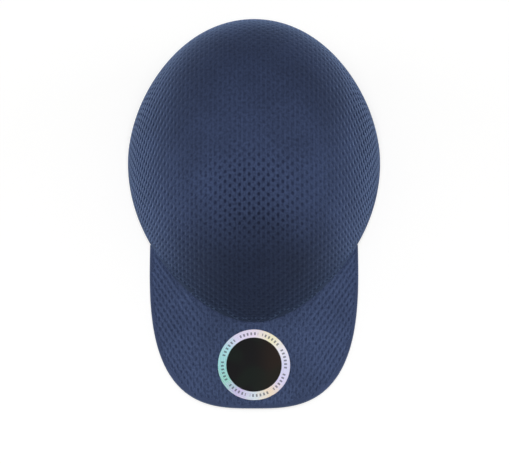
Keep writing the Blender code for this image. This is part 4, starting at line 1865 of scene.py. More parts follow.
    def rings(self) -> list[Array]:
        """Rings of the lining from the outer top, round the edge, to the inner top.

        Returns:
            Arrays of points.
        """
        phi, height = self.outline(self.roll)
        count = len(phi)
        middle = self.hem_points + (self.arch_points - 1) / 2.0
        even = math.pi / 2 - TURN - (np.arange(count) - middle) * TURN / count
        shares = np.linspace(0.0, 1.0, self.dome_rings + 1)[:-1]
        outer, inner = [], []
        for share in shares:
            turn = mix(phi, even, 1.0 - (1.0 - share) ** 1.6)
            for inset, store in ((0.0, outer), (self.crown.wall, inner)):
                radius = self.crown.rise - inset
                base = np.arcsin((height + self.crown.hem_above_widest) / radius)
                up = radius * np.sin(mix(base, math.pi / 2, share)) - self.crown.hem_above_widest
                plan = self.crown.point(turn, up, inset)
                if inset == 0.0:
                    level = plan[:, 1] + self.crown.lean * plan[:, 2]
                    depth = self.lining.depth(self.edge(plan[:, 0], level))
                    plan = plan - self.crown.normal(plan[:, 0], level) * depth[:, None]
                store.append(plan)
        edge = []
        for sine, cosine in roll_steps():
            turn, up = self.outline(self.roll * (1.0 - sine))
            edge.append(self.crown.point(turn, up, self.roll * (1.0 - cosine)))
        return outer[::-1] + edge + inner

    def build(self, fabric: Material, cloth: Material) -> None:
        """Make the lining and the mesh fabric.

        Args:
            fabric: Mesh fabric.
            cloth: Cloth of the lining.
        """
        poles = self.crown.pole(self.lining.deep), self.crown.pole(self.crown.wall)
        base = loft(self.shop, "crown_lining", self.rings(), *poles)
        # The lining's colour is darkened by the painted shade, stored on its vertices.
        spot = self.shop.points(base.data)
        tone = self.stretch_and_painted_shade(spot[:, 0], spot[:, 1] + self.crown.lean * spot[:, 2])
        self.shop.values(base.data, "stretch_and_painted_shade", tone)
        self.shop.finish(base, cloth, Body.COVER, Slot.CLOTH, ("crown_cover",))
        skin = MeshSkin(
            shop=self.shop,
            chart=self.charted(),
            surface=self.crown.surface,
            edge=self.edge,
            ground=self.lining.depth,
            openness=self.openness,
            stretch_and_painted_shade=self.stretch_and_painted_shade,
            first_row=2.4 * MM,
            columns=44,
            rows=(-68, 58),
        )
        piece = skin.build("crown_mesh_fabric")
        self.shop.finish(piece, fabric, Body.COVER, Slot.MESH, ("crown_cover",))


# ---------------------------------------------------------------- peak
@dataclass(frozen=True)
class PeakAssembly:
    """Peak: a lining rolled over the board, mesh fabric on top and plain cloth below."""

    shop: Workshop
    peak: PeakForm
    lining: CoverLining = field(default_factory=CoverLining)
    middle_y: float = -165.0 * MM
    column_pitch: float = 2.8 * MM
    column_loss: float = 1.0 * MM
    column_least: float = 1.95 * MM
    loss_at: float = 59.0 * MM
    row_pitch: float = 3.7 * MM
    row_bow: float = 2.1
    converge: float = 1.66
    openness: float = 0.30
    edge_round: float = 1.5 * MM
    under_round: float = 0.8 * MM
    skirt_width: float = 1.1 * MM
    skirt_end: float = 3.15 * MM
    columns: int = 96
    rows: int = 36
    under_hem: float = 2.4 * MM
    lining_area: float = 0.0110
    mesh_area: float = 0.0098
    under_area: float = 0.0104

    def free_edge(self, x: Array, y: Array) -> Array:
        """Distance inside the free edge.

        Args:
            x: Distances across.
            y: Distances along.

        Returns:
            Distances, negative outside it.
        """
        form = self.peak
        corner, power = form.corner(), form.squareness
        reach = corner[1] - form.tip()
        across = np.abs(x) / form.half_chord
        along = np.maximum(0.0, (corner[1] - y) / reach)
        level = np.maximum((across**power + along**power) ** (1.0 / power), 1e-6)
        slope_x = (across / level) ** (power - 1.0) / form.half_chord
        slope_y = (along / level) ** (power - 1.0) / reach
        return (1.0 - level) / np.maximum(np.hypot(slope_x, slope_y), 1e-3)

    def edge(self, x: Array, y: Array) -> Array:
        """Distance inside the free edge or the line under the crown's hem."""
        return np.minimum(self.free_edge(x, y), self.peak.root(x) + self.under_hem - y)

    def chart(self, p: Array, q: Array) -> Array:
        """Plan points of lattice places.

        Args:
            p: Lattice columns.
            q: Lattice rows.

        Returns:
            Distances across and along.
        """
        reach = np.linspace(0.0, 90.0 * MM, 400)
        pitch = self.column_pitch - self.column_loss * (reach / self.loss_at) ** 2
        pitch = np.maximum(pitch, self.column_least)
        place = places(reach, pitch)
        across = np.sign(p) * np.interp(np.abs(p), place, reach)
        y = self.middle_y + self.row_pitch * q + self.row_bow * across**2
        return np.stack([across * (1.0 + self.converge * (y - self.middle_y)), y], axis=-1)

    def surface(self, x: Array, y: Array) -> Array:
        """Points of the top surface."""
        return np.stack([x, y, self.peak.height(x, y)], axis=-1)

    def plan(self, u: Array, v: Array, margin: float) -> tuple[Array, Array]:
        """Plan points of a layer from the root, v 0, to the free edge, v 1.

        Args:
            u: Shares along the piece.
            v: Shares across it.
            margin: Distance inside the free edge.

        Returns:
            Distances across and along.
        """
        form = self.peak
        share = mix(-1.0, 1.0, u)
        root = form.crown.front_hem(share * (form.half_chord - form.corner_edge), form.tuck)
        bearing = math.pi / 2 * (1.0 - np.abs(share))
        size = square_size(bearing, form.squareness)
        edge_x = np.sign(share) * (form.half_chord - margin) * size * np.cos(bearing)
        edge_y = mix(form.corner()[1], form.tip() + margin, size * np.sin(bearing))
        along = 1.0 - (1.0 - v) ** 1.8
        return mix(root[:, 0], edge_x, along), mix(root[:, 1], edge_y, along)

    def top_place(self, u: Array, v: Array, depth: Array) -> Array:
        """Points of the top lining, whose free edge rolls down over the board.

        Args:
            u: Shares along the piece.
            v: Shares across it.
            depth: Depth, 0 for the outer and 1 for the inner face.

        Returns:
            Points of the lining.
        """
        x, y = self.plan(u, v, 0.0)
        inside = np.maximum(self.free_edge(x, y), 0.0)
        top = np.maximum(self.lining.depth(self.edge(x, y)), round_over(inside, self.edge_round))
        skirt = 1.0 - smooth_step(inside, self.skirt_width, self.skirt_width + 0.4 * MM)
        under = mix(self.peak.top_layer, self.skirt_end, skirt)
        return np.stack([x, y, self.peak.height(x, y) - np.where(depth > 0.5, under, top)], axis=-1)

    def under_place(self, u: Array, v: Array, depth: Array) -> Array:
        """Points of the cloth under the peak.

        Args:
            u: Shares along the piece.
            v: Shares across it.
            depth: Depth, 0 for the outer and 1 for the inner face.

        Returns:
            Points of the cloth.
        """
        form = self.peak
        x, y = self.plan(u, v, 0.1 * MM)
        inside = np.clip(self.free_edge(x, y), 0.0, 1.0)
        start = form.top_layer + form.board_layer + 2.0 * form.layer_gap
        below = start + form.under_layer - round_over(inside, self.under_round)
        return np.stack([x, y, form.height(x, y) - np.where(depth > 0.5, below, start)], axis=-1)

    def build(self, fabric: Material, edge: Material, cloth: Material) -> None:
        """Args:
            fabric: Mesh fabric.
            edge: Cloth of the rolled edge.
            cloth: Cloth under the peak.
        """
        base = slab(self.shop, "peak_top_lining", self.columns, self.rows, self.top_place)
        self.shop.finish(base, edge, Body.COVER, Slot.CLOTH, ("peak_top_cover",))
        skin = MeshSkin(
            shop=self.shop,
            chart=self.chart,
            surface=self.surface,
            edge=self.edge,
            ground=self.lining.depth,
            openness=lambda x, y: np.full(np.shape(x), self.openness),
            # The peak gets no painted shade: the factor is one everywhere.
            stretch_and_painted_shade=lambda x, y: np.ones(np.shape(x)),
            columns=44,
            rows=(-18, 40),
            first_row=1.7 * MM,
        ).build("peak_mesh_fabric")
        self.shop.finish(skin, fabric, Body.COVER, Slot.MESH, ("peak_top_cover",))
        below = slab(self.shop, "peak_under_cloth", self.columns, self.rows, self.under_place)
        self.shop.finish(below, cloth, Body.COVER, Slot.CLOTH, ("peak_under_cover",))


@dataclass(frozen=True)
class FoilSticker:
    """Round foil sticker on the peak, with nothing printed in its black middle."""

    shop: Workshop
    peak: PeakForm
    radius: float = 25.0 * MM
    from_tip: float = 29.5 * MM
    low: float = 0.08 * MM
    high: float = 0.60 * MM
    columns: int = 96
    shares: tuple[float, ...] = (0.12, 0.3, 0.5, 0.68, 0.765, 0.82, 0.9, 0.96, 0.985)

    def build(self, foil: Material) -> None:
        """Make the disc along the peak's curve.

        Args:
            foil: Foil of the sticker.
        """
        centre_y = self.peak.tip() + self.from_tip
        turn = np.linspace(0.0, TURN, self.columns, endpoint=False)

        def ring(share: float, lift: float) -> Array:
            """Ring of the disc at a share of its radius.

            Args:
                share: Share of the way to the edge.
                lift: Height above the peak.

            Returns:
                Points of the ring.
            """
            x = self.radius * share * np.cos(turn)
            y = centre_y + self.radius * share * np.sin(turn)
            return np.stack([x, y, self.peak.height(x, y) + lift], axis=1)

        rings = [ring(share, self.high) for share in self.shares]
        rings += [
            ring(0.998, self.high - 0.06 * MM), ring(1.0, self.high - 0.2 * MM), ring(1.0, self.low)
        ]
        rings += [ring(share, self.low) for share in (0.8, 0.4)]
        piece = loft(self.shop, "foil_sticker", rings)
        plan = self.shop.points(piece.data)[:, :2] - np.array([0.0, centre_y])
        write_uv(piece.data, "disc", plan / self.radius)
        self.shop.finish(piece, foil, Body.COVER, Slot.FOIL, ("sticker",))


# ---------------------------------------------------------------- inside of the cover
@dataclass(frozen=True)
class Sweatband:
    """Ribbed, lightly padded band inside the hem."""

    shop: Workshop
    crown: CrownForm
    rear: RearForm
    arch_arc: float
    low: float = 0.8 * MM
    high: float = 24.0 * MM
    inset: float = 2.2 * MM
    wall: float = 1.6 * MM
    gap_arc: float = 25.0
    rib_pitch: float = 4.0 * MM
    rib_depth: float = 0.16 * MM
    stitch_rises: Zone = (3.2 * MM, 21.4 * MM)
    stations: int = 560
    section: int = 28

    def end_angle(self) -> float:
        """Plan angle where the band ends on the +X side.

        Returns:
            The angle.
        """
        _, radius = self.rear.circle()
        x = (radius - self.inset) * math.sin(self.arch_arc + math.radians(self.gap_arc))
        return float(self.crown.angle_at(x, np.array([12.0 * MM]), math.pi / 2)[0])

    def line(self, rise: float, inset: float, count: int) -> Array:
        """Points along the band at a height above the hem.

        Args:
            rise: Height above the hem.
            inset: Distance inside the outer surface.
            count: How many points.

        Returns:
            Points of the line.
        """
        end = self.end_angle()
        phi = np.linspace(end - 0.01, -math.pi - end + 0.01, count)
        return self.crown.point(phi, self.crown.hem(phi) + rise, inset)

    def build(self, cloth: Material, stitches: StitchMaker) -> None:
        """Make the band and its two stitch rows.

        Args:
            cloth: Plain cloth.
            stitches: Maker of the stitch rows.
        """
        end = self.end_angle()
        turn = np.linspace(0.0, TURN, self.section, endpoint=False)
        flat = 0.5
        up = np.sign(np.cos(turn)) * np.abs(np.cos(turn)) ** flat
        thick = np.sign(np.sin(turn)) * np.abs(np.sin(turn)) ** flat
        middle, half = 0.5 * (self.low + self.high), 0.5 * (self.high - self.low)
        rings = []
        stations = np.linspace(end, -math.pi - end, self.stations)
        run = lengths(self.crown.point(stations, self.crown.hem(stations) + middle, self.inset))
        for phi, length in zip(stations, run):
            rib = self.rib_depth * (0.5 - 0.5 * math.cos(TURN * length / self.rib_pitch))
            depth = self.inset + 0.5 * self.wall * (1.0 + thick) - rib * (thick > 0.0) * (
                1.0 - up**8
            )
            height = self.crown.hem(np.array([phi])) + middle + half * up
            rings.append(self.crown.point(np.full(self.section, phi), height, 0.0)
                         - self.inward(phi, depth))
        piece = loft(self.shop, "sweatband_cloth", rings)
        self.shop.finish(piece, cloth, Body.COVER, Slot.CLOTH, ("sweatband",))
        rows = [RowPlan(self.line(rise, self.inset + self.wall, 400)) for rise in self.stitch_rises]
        stitches.sew("sweatband_stitches", rows, Body.COVER, Slot.CLOTH)

    def inward(self, phi: float, depth: Array) -> Array:
        """Level shift from the outer surface toward the inside.

        Args:
            phi: Plan angle.
            depth: Depths below the outer surface.

        Returns:
            Shifts to take from the outer points.
        """
        base = self.crown.point(np.array([phi]), np.array([12.0 * MM]), 0.0)[0]
        inner = self.crown.point(np.array([phi]), np.array([12.0 * MM]), 1.0 * MM)[0]
        return (base - inner)[None, :] * (depth / (1.0 * MM))[:, None]


@dataclass(frozen=True)
class ArchBinding:
    """Folded tape that binds the edge of the adjuster opening."""

    shop: Workshop
    crown: CrownForm
    arch: ArchForm
    stations: int = 110
    foot: float = 0.4 * MM
    stitch_grow: float = 4.4 * MM
    stitch_inset: float = -1.06 * MM
    stitch_points: int = 240
    section: tuple[tuple[float, float], ...] = (
        (6.0, -0.45), (5.6, -0.92), (3.0, -1.05), (0.6, -1.05), (-0.5, -0.7), (-0.95, 0.0), (
            -1.0, 0.9
        ),
        (-0.9, 1.6), (-0.4, 2.02), (1.0, 2.12), (5.0, 2.12), (5.3, 1.9), (5.0, 1.7), (1.0, 1.68),
        (0.05, 1.55), (-0.2, 0.8), (0.0, 0.0), (1.0, -0.13), (5.6, -0.13),
    )

    def station(self, share: float) -> Array:
        """One loop of the folded tape.

        Args:
            share: Share of the way along.

        Returns:
            Points of the loop.
        """
        grow = np.array([item[0] for item in self.section]) * MM
        inset = np.array([item[1] for item in self.section]) * MM
        x, z = self.arch.edge(np.full(len(grow), share), grow, self.foot)
        wall = self.crown.rear_wall
        return np.array([wall(x[i:i + 1], z[i:i + 1], inset[i])[0] for i in range(len(grow))])

    def build(self, cloth: Material, stitches: StitchMaker) -> None:
        """Make the tape and the row that sews it.

        Args:
            cloth: Plain cloth.
            stitches: Maker of the stitch rows.
        """
        rings = [self.station(share) for share in np.linspace(0.0, 1.0, self.stations)]
        piece = loft(self.shop, "arch_binding", rings)
        self.shop.finish(piece, cloth, Body.COVER, Slot.CLOTH, ("arch_tape",))
        share = np.linspace(0.02, 0.98, self.stitch_points)
        x, z = self.arch.edge(share, np.full_like(share, self.stitch_grow), self.foot)
        row = RowPlan(self.crown.rear_wall(x, z, self.stitch_inset))
        stitches.sew("arch_binding_stitches", [row], Body.COVER, Slot.CLOTH)


@dataclass(frozen=True)
class Adjuster:
    """Strap, its channels and the tab that holds the buckle."""

    shop: Workshop
    crown: CrownForm
    rear: RearForm
    arch_arc: float
    low: float = 4.0 * MM
    high: float = 24.0 * MM
    strap_inset: float = 4.4 * MM
    strap_wall: float = 1.4 * MM
    strap_edge: float = 1.2 * MM
    hidden_arc: float = 20.5
    free_arc: float = 21.0
    tip_length: float = 5.0 * MM
    tab_inset: float = 2.9 * MM
    tab_wall: float = 1.2 * MM
    tab_edge: float = 1.0 * MM
    buckle_arc: float = 9.0
    buckle_reach: float = 10.6 * MM
    tab_arc: float = 12.0
    channel_arc: float = 24.0
    channel_wall: float = 1.0 * MM
    channel_low: float = 1.4 * MM
    channel_high: float = 26.6 * MM
    channel_gap: float = 0.3 * MM
    flat_inset: float = 2.2 * MM
    hump_inset: float = 6.2 * MM
    hump_rise: Zone = (1.8 * MM, 4.0 * MM)
    hump_fall: Zone = (24.0 * MM, 26.2 * MM)
    tab_rows: Zone = (0.03, 0.055)
    stitch_points: int = 120

    def band(self, start: float, end: float, inset: float, wall: float, edge: float) -> Place:
        """Place function of a band on the rear cone, with a little edge rounding.

        Args:
            start: Angle that it starts at.
            end: Angle that it ends at.
            inset: Distance inside the outer surface.
            wall: Thickness.
            edge: Width of the rounded edge.

        Returns:
            The place function.
        """

        def place(u: Array, v: Array, depth: Array) -> Array:
            """Points of the band.

            Args:
                u: Shares along the piece.
                v: Shares across it.
                depth: Depth, 0 for the outer and 1 for the inner face.

            Returns:
                The points.
            """
            near = np.clip(1.0 - np.minimum(v, 1.0 - v) * (self.high - self.low) / edge, 0.0, 1.0)
            round_off = 0.35 * wall * (1.0 - np.sqrt(1.0 - near**2))
            into = inset + np.where(depth > 0.5, wall - round_off, round_off)
            return self.rear.point(mix(start, end, u), mix(self.low, self.high, v), into)

        return place

    def channel_place(self, side: float) -> Place:
        """Place function of one channel, whose long edges lie on the wall.

        Args:
            side: 1 for the +X side and -1 for the other.

        Returns:
            The place function.
        """
        _, radius = self.rear.circle()
        start = self.arch_arc + self.channel_gap / radius
        end = self.arch_arc + math.radians(self.channel_arc)

        def place(u: Array, v: Array, depth: Array) -> Array:
            """Points of the channel.

            Args:
                u: Shares along the piece.
                v: Shares across it.
                depth: Depth, 0 for the outer and 1 for the inner face.

            Returns:
                The points.
            """
            arc = side * mix(start, end, u)
            z = mix(self.channel_low, self.channel_high, v)
            hump = smooth_step(z, *self.hump_rise) * (1.0 - smooth_step(z, *self.hump_fall))
            wall = np.where(depth > 0.5, self.channel_wall, 0.0)
            over = self.rear.point(arc, z, self.hump_inset + wall)
            x = self.rear.point(arc, z, self.flat_inset + wall)[:, 0]
            flat = np.empty_like(over)
            for into in (0.0, self.channel_wall):
                rows = np.isclose(wall, into)
                flat[rows] = self.crown.rear_wall(x[rows], z[rows], self.flat_inset + into)
            return mix(flat, over, hump[:, None])

        return place

    def build(self, cloth: Material, webbing: Material, stitches: StitchMaker) -> None:
        """Make the strap, the channels, the tab and their stitches.

        Args:
            cloth: Plain cloth.
            webbing: Woven strap.
            stitches: Maker of the stitch rows.
        """
        _, radius = self.rear.circle()
        start = -self.arch_arc - math.radians(self.hidden_arc)
        end = math.radians(self.free_arc) - self.tip_length / radius
        place = self.band(start, end, self.strap_inset, self.strap_wall, self.strap_edge)
        strap = slab(self.shop, "adjuster_webbing", 120, 14, place)
        self.shop.finish(strap, webbing, Body.STRAP, Slot.CLOTH, ("strap",))
        tab_start = math.radians(self.buckle_arc) + self.buckle_reach / (radius - self.strap_inset)
        tab_end = self.arch_arc + math.radians(self.tab_arc)
        place = self.band(tab_start, tab_end, self.tab_inset, self.tab_wall, self.tab_edge)
        tab = slab(self.shop, "buckle_tab_cloth", 40, 14, place)
        self.shop.finish(tab, cloth, Body.COVER, Slot.CLOTH, ("buckle_anchor_tab",))
        rows = []
        for side, name in ((1.0, "left"), (-1.0, "right")):
            place = self.channel_place(side)
            channel = slab(self.shop, f"channel_cloth_{name}", 48, 30, place)
            self.shop.finish(channel, cloth, Body.COVER, Slot.CLOTH, (f"strap_channel_{name}",))
            u = np.linspace(0.02, 0.98, self.stitch_points)
            for level in (0.035, 0.965):
                rows.append(RowPlan(place(u, np.full_like(u, level), np.ones_like(u))))
        z = np.linspace(self.low + 2.0 * MM, self.high - 2.0 * MM, 40)
        for arc in self.tab_rows:
            rows.append(
                RowPlan(self.rear.point(np.full_like(z, tab_start + arc), z, self.tab_inset))
            )
        stitches.sew("adjuster_stitches", rows, Body.COVER, Slot.CLOTH)


# ---------------------------------------------------------------- insert
@dataclass(frozen=True)
class PadPlan:
    """Place of one wall pad: plan angles in degrees and heights above the rim."""

    name: str
    node: str
    middle: float
    half: float
    low: float
    high: float


@dataclass(frozen=True)
class ImpactInsert:
    """Moulded shell with vents, foam pads and its hold tapes."""

    shop: Workshop
    crown: CrownForm
    rim_side: float = 30.0 * MM
    rim_front: float = 42.0 * MM
    rim_rear: float = 52.0 * MM
    inset: float = 5.0 * MM
    wall: float = 1.8 * MM
    pad_inset: float = 7.4 * MM
    pad_wall: float = 4.0 * MM
    crown_pad_depth: float = 14.0 * MM
    pad_squareness: float = 5.0
    vent_length: float = 26.0 * MM
    vent_width: float = 7.0 * MM
    vent_rise: float = 0.60
    cutter_half: float = 6.0 * MM
    headings: tuple[float, ...] = (38.0, 58.0, 122.0, 142.0, 218.0, 238.0, 302.0, 322.0)
    columns: int = 168
    dome_rings: int = 34
    groove: float = 1.1 * MM
    groove_half: float = 1.6 * MM
    groove_place: float = 0.34
    wall_radius: float = 0.085
    hook_inset: float = 3.5 * MM
    loop_inset: float = 2.2 * MM
    vent_round: float = 0.35 * MM
    wall_pad_edge: tuple[float, ...] = (0.9, 0.935, 0.965, 0.985, 0.996, 1.0)
    crown_pad_edge: tuple[float, ...] = (0.92, 0.95, 0.975, 0.99, 1.0)
    tape_wall: float = 0.9 * MM
    tape_height: float = 20.0 * MM
    tape_half_arc: float = 12.0
    tape_seats: tuple[tuple[str, float, float], ...] = (
        ("front", -90.0, 64.0 * MM), ("rear", 90.0, 60.0 * MM), ("left", 0.0, 58.0 * MM), (
            "right", 180.0, 58.0 * MM
        )
    )
    pads: tuple[PadPlan, ...] = (
        PadPlan("front_foam_pad", "front_pad", -90.0, 30.0, 6.0, 34.0),
        PadPlan("rear_foam_pad", "rear_pad", 90.0, 30.0, 4.0, 26.0),
        PadPlan("left_foam_pad", "left_side_pad", 0.0, 26.0, 6.0, 36.0),
        PadPlan("right_foam_pad", "right_side_pad", 180.0, 26.0, 6.0, 36.0),
    )

    def rim(self, phi: Array) -> Array:
        """Height of the shell's lower edge."""
        end = np.where(np.sin(phi) < 0.0, self.rim_front, self.rim_rear)
        return mix(self.rim_side, end, np.sin(phi) ** 2)

    def shell_rings(self) -> list[Array]:
        """Rings of the shell from the outer top, round its rim, to the inner top.

        Returns:
            Arrays of points.
        """
        phi = np.linspace(0.0, TURN, self.columns, endpoint=False)
        half = 0.5 * self.wall
        shares = np.linspace(0.0, 1.0, self.dome_rings + 1)[:-1]
        base = self.rim(phi) + half
        outer, inner = (
            [self.crown.dome(phi, np.full_like(phi, share), base, inset) for share in shares]
            for inset in (self.inset, self.inset + self.wall)
        )
        edge = []
        for sine, cosine in roll_steps():
            low = self.rim(phi) + half * (1.0 - sine)
            edge.append(self.crown.point(phi, low, self.inset + half * (1.0 - cosine)))
        return outer[::-1] + edge + inner

    def cutter(self) -> Object:
        """Upright slot-shaped block, long along X.

        Returns:
            The block.
        """
        reach, radius = 0.5 * (self.vent_length - self.vent_width), 0.5 * self.vent_width
        half = self.cutter_half
        turn = np.linspace(-math.pi / 2, math.pi / 2, 9)
        loop = [(reach + radius * math.cos(a), radius * math.sin(a)) for a in turn]
        loop += [(-reach - radius * math.cos(a), -radius * math.sin(a)) for a in turn]
        count = len(loop)
        points = [(x, y, -half) for x, y in loop] + [(x, y, half) for x, y in loop]
        faces = [tuple(range(count - 1, -1, -1)), tuple(range(count, 2 * count))]
        faces += [(i, (i + 1) % count, (i + 1) % count + count, i + count) for i in range(count)]
        mesh = bpy.data.meshes.new("vent_cutter")
        mesh.from_pydata(points, [], faces)
        close_up(mesh)
        return self.shop.link("vent_cutter", mesh)

    def vent_tree(self, plastic: Material) -> ShapeTree:
        """Tree that cuts a slot at each seat.

        Args:
            plastic: Material of the shell.

        Returns:
            The tree, whose inputs are the seats and the cutter.
        """
        made = ShapeTree("shell_vents", "Object", ("Seats", "Cutter"), plastic)
        sheet, entry = made.sheet, made.entry
        seats, block = (
            sheet.add("GeometryNodeObjectInfo", {"Object": entry[label]}).outputs["Geometry"]
            for label in ("Seats", "Cutter")
        )
        kind = "GeometryNodeInputNamedAttribute"
        outward, rising = (
            sheet.add(kind, {"Name": label}, data_type="FLOAT_VECTOR").outputs["Attribute"]
            for label in ("outward", "rising")
        )
        kind = "FunctionNodeAlignRotationToVector"
        upright = sheet.add(kind, {"Vector": outward}, axis="Z").outputs["Rotation"]
        turned = sheet.add(kind, {"Rotation": upright, "Vector": rising}, axis="X", pivot_axis="Z")
        feeds = {"Points": seats, "Instance": block, "Rotation": turned.outputs["Rotation"]}
        copies = sheet.add("GeometryNodeInstanceOnPoints", feeds).outputs["Instances"]
        real = sheet.add("GeometryNodeRealizeInstances", {"Geometry": copies}).outputs["Geometry"]
        feeds = {"Mesh 1": entry["Geometry"], "Mesh 2": real}
        cut = sheet.add("GeometryNodeMeshBoolean", feeds, operation="DIFFERENCE", solver="EXACT")
        made.close(cut.outputs["Mesh"])
        return made

    def cut_vents(self, shell: Object, plastic: Material) -> None:
        """Cut the eight vents through the shell.

        Args:
            shell: Shell to cut.
            plastic: Material of the shell.
        """
        phi = np.radians(self.headings)
        middle = self.inset + 0.5 * self.wall
        seat = self.crown.dome(phi, np.full_like(phi, self.vent_rise), self.rim(phi), middle)
        above = self.crown.dome(
            phi, np.full_like(phi, self.vent_rise + 0.01), self.rim(phi), middle
        )
        beside = self.crown.dome(
            phi + 0.01, np.full_like(phi, self.vent_rise), self.rim(phi + 0.01), middle
        )
        rising = above - seat
        outward = np.cross(beside - seat, rising)
        mesh = self.shop.mesh("vent_seats", seat, [])
        for label, data in (("outward", outward), ("rising", rising)):
            unit = data / np.linalg.norm(data, axis=1, keepdims=True)
            store = mesh.attributes.new(label, "FLOAT_VECTOR", "POINT")
            store.data.foreach_set("vector", unit.astype(np.float32).ravel())
        seats, block = self.shop.link("vent_seats", mesh), self.cutter()
        self.vent_tree(plastic).run(self.shop, shell, {"Seats": seats, "Cutter": block})
        for helper in (seats, block):
            bpy.data.objects.remove(helper, do_unlink=True)
        soften(shell, self.vent_round, 2, 55.0)
        self.shop.settle(shell)

    def pad_surface(self, share: float, inner: bool) -> float:
        """Inset of a pad's face at a share of the way to its edge.

        Args:
            share: Share of the way to the edge.
            inner: Whether it is the inner face.

        Returns:
            The inset.
        """
        middle = self.pad_inset + 0.45 * self.pad_wall
        if inner:
            crowned = (1.0 - share**5) ** 0.5 * (1.0 - 0.12 * share**2)
            return middle + 0.55 * self.pad_wall * crowned
        return middle - 0.45 * self.pad_wall * (1.0 - share**9) ** 0.5

    def wall_pad(self, plan: PadPlan, foam: Material) -> None:
        """Rounded pad on the shell's wall with two pressed channels.

        Args:
            plan: Place and size.
            foam: Foam of the pads.
        """
        turn = np.linspace(0.0, TURN, 112, endpoint=False)
        size = square_size(turn, self.pad_squareness)
        shares = np.concatenate([np.linspace(0.06, 0.86, 18), self.wall_pad_edge])
        half_width = math.radians(plan.half) * self.wall_radius

        def ring(share: float, inner: bool) -> Array:
            """One ring of a pad's face.

            Args:
                share: Share of the way to the edge.
                inner: Whether it is the inner face.

            Returns:
                Points of the ring.
            """
            u, v = share * size * np.cos(turn), share * size * np.sin(turn)
            phi = math.radians(plan.middle) + math.radians(plan.half) * u
            height = self.rim(phi) + mix(plan.low * MM, plan.high * MM, 0.5 * (v + 1.0))
            inset = np.full(len(turn), self.pad_surface(share, inner))
            if inner:
                gap = np.abs(np.abs(u) - self.groove_place) * half_width
                press = np.exp(-((gap / self.groove_half) ** 2))
                press = press * (1.0 - smooth_step(np.abs(v), 0.62, 0.86))
                inset = inset - self.groove * press
            outside = self.crown.point(phi, height, self.pad_inset)
            inside = self.crown.point(phi, height, self.pad_inset + 1.0 * MM)
            return outside + (inside - outside) * ((inset - self.pad_inset) / (1.0 * MM))[:, None]

        self.pad(plan.name, plan.node, shares, ring, foam)

    def crown_pad(self, foam: Material) -> None:
        """Round pad under the top with pressed channels.

        Args:
            foam: Foam of the pads.
        """
        phi = np.linspace(0.0, TURN, 120, endpoint=False)
        base = self.crown.rise - self.crown.hem_above_widest - self.pad_inset - self.crown_pad_depth
        shares = np.concatenate([np.linspace(0.05, 0.88, 22), self.crown_pad_edge])

        def ring(share: float, inner: bool) -> Array:
            """One ring of the pad's face.

            Args:
                share: Share of the way to the edge.
                inner: Whether it is the inner face.

            Returns:
                Points of the ring.
            """
            inset = np.full(len(phi), self.pad_surface(share, inner))
            if inner:
                spoke = np.abs(np.sin(3.0 * phi)) * share * 22.0 * MM / 1.5
                press = np.exp(-((spoke / self.groove_half) ** 2))
                press = press * smooth_step(np.array(share), 0.22, 0.34)
                press = press * (1.0 - smooth_step(np.array(share), 0.80, 0.90))
                hoop = np.exp(-(((share - 0.28) * 60.0 * MM / self.groove_half) ** 2))
                inset = inset - self.groove * np.maximum(press, hoop)
            rise, low = np.full_like(phi, 1.0 - share), np.full_like(phi, base)
            outside = self.crown.dome(phi, rise, low, self.pad_inset)
            drop = np.array([0.0, 0.0, -1.0]) * (inset - self.pad_inset)[:, None]
            return outside + drop

        self.pad("crown_foam_pad", "crown_pad", shares, ring, foam)

    def pad(
        self,
        name: str,
        node: str,
        shares: Array,
        ring: Callable[[float, bool], Array],
        foam: Material,
    ) -> None:
        """Skin a pad over its inner and outer face.

        Args:
            name: Name of the piece.
            node: CAD node that it stands for.
            shares: Shares of the way to the edge where it has a ring.
            ring: Ring at a share, of the inner face or the outer one.
            foam: Foam of the pads.
        """
        rings = [ring(share, True) for share in shares]
        rings += [ring(share, False) for share in shares[-2::-1]]
        piece = loft(self.shop, name, rings)
        self.shop.finish(piece, foam, Body.INSERT, Slot.FOAM, (node,))

    def tapes(self, hook: Material, cloth: Material) -> None:
        """Hook tabs on the shell and loop patches in the cover.

        Args:
            hook: Hook pile.
            cloth: Plain cloth.
        """
        half = math.radians(self.tape_half_arc)
        kinds = (
            ("hook_tab", self.hook_inset, Body.INSERT, hook),
            ("loop_patch", self.loop_inset, Body.COVER, cloth),
        )
        for side, bearing, level in self.tape_seats:
            for kind, inset, body, material in kinds:
                def place(u: Array, v: Array, depth: Array) -> Array:
                    """Points of the tape.

                    Args:
                        u: Shares along the piece.
                        v: Shares across it.
                        depth: Depth, 0 for the outer and 1 for the inner face.

                    Returns:
                        The points.
                    """
                    phi = math.radians(bearing) + mix(-half, half, u)
                    z = level + mix(-0.5, 0.5, v) * self.tape_height
                    outside = self.crown.point(phi, z, inset)
                    inside = self.crown.point(phi, z, inset + self.tape_wall)
                    return np.where(depth[:, None] > 0.5, inside, outside)

                piece = slab(self.shop, f"{side}_{kind}_tape", 24, 12, place)
                self.shop.finish(piece, material, body, Slot.HOOK, (f"{side}_{kind}",))

    def build(self, plastic: Material, foam: Material, hook: Material, cloth: Material) -> None:
        """Make the shell, its pads and its tapes.

        Args:
            plastic: Material of the shell.
            foam: Foam of the pads.
            hook: Hook pile.
            cloth: Plain cloth.
        """
        poles = self.crown.pole(self.inset), self.crown.pole(self.inset + self.wall)
        shell = loft(self.shop, "vented_shell", self.shell_rings(), *poles)
        self.cut_vents(shell, plastic)
        self.shop.finish(shell, plastic, Body.INSERT, Slot.SHELL, ("impact_shell",))
        for plan in self.pads:
            self.wall_pad(plan, foam)
        self.crown_pad(foam)
        self.tapes(hook, cloth)


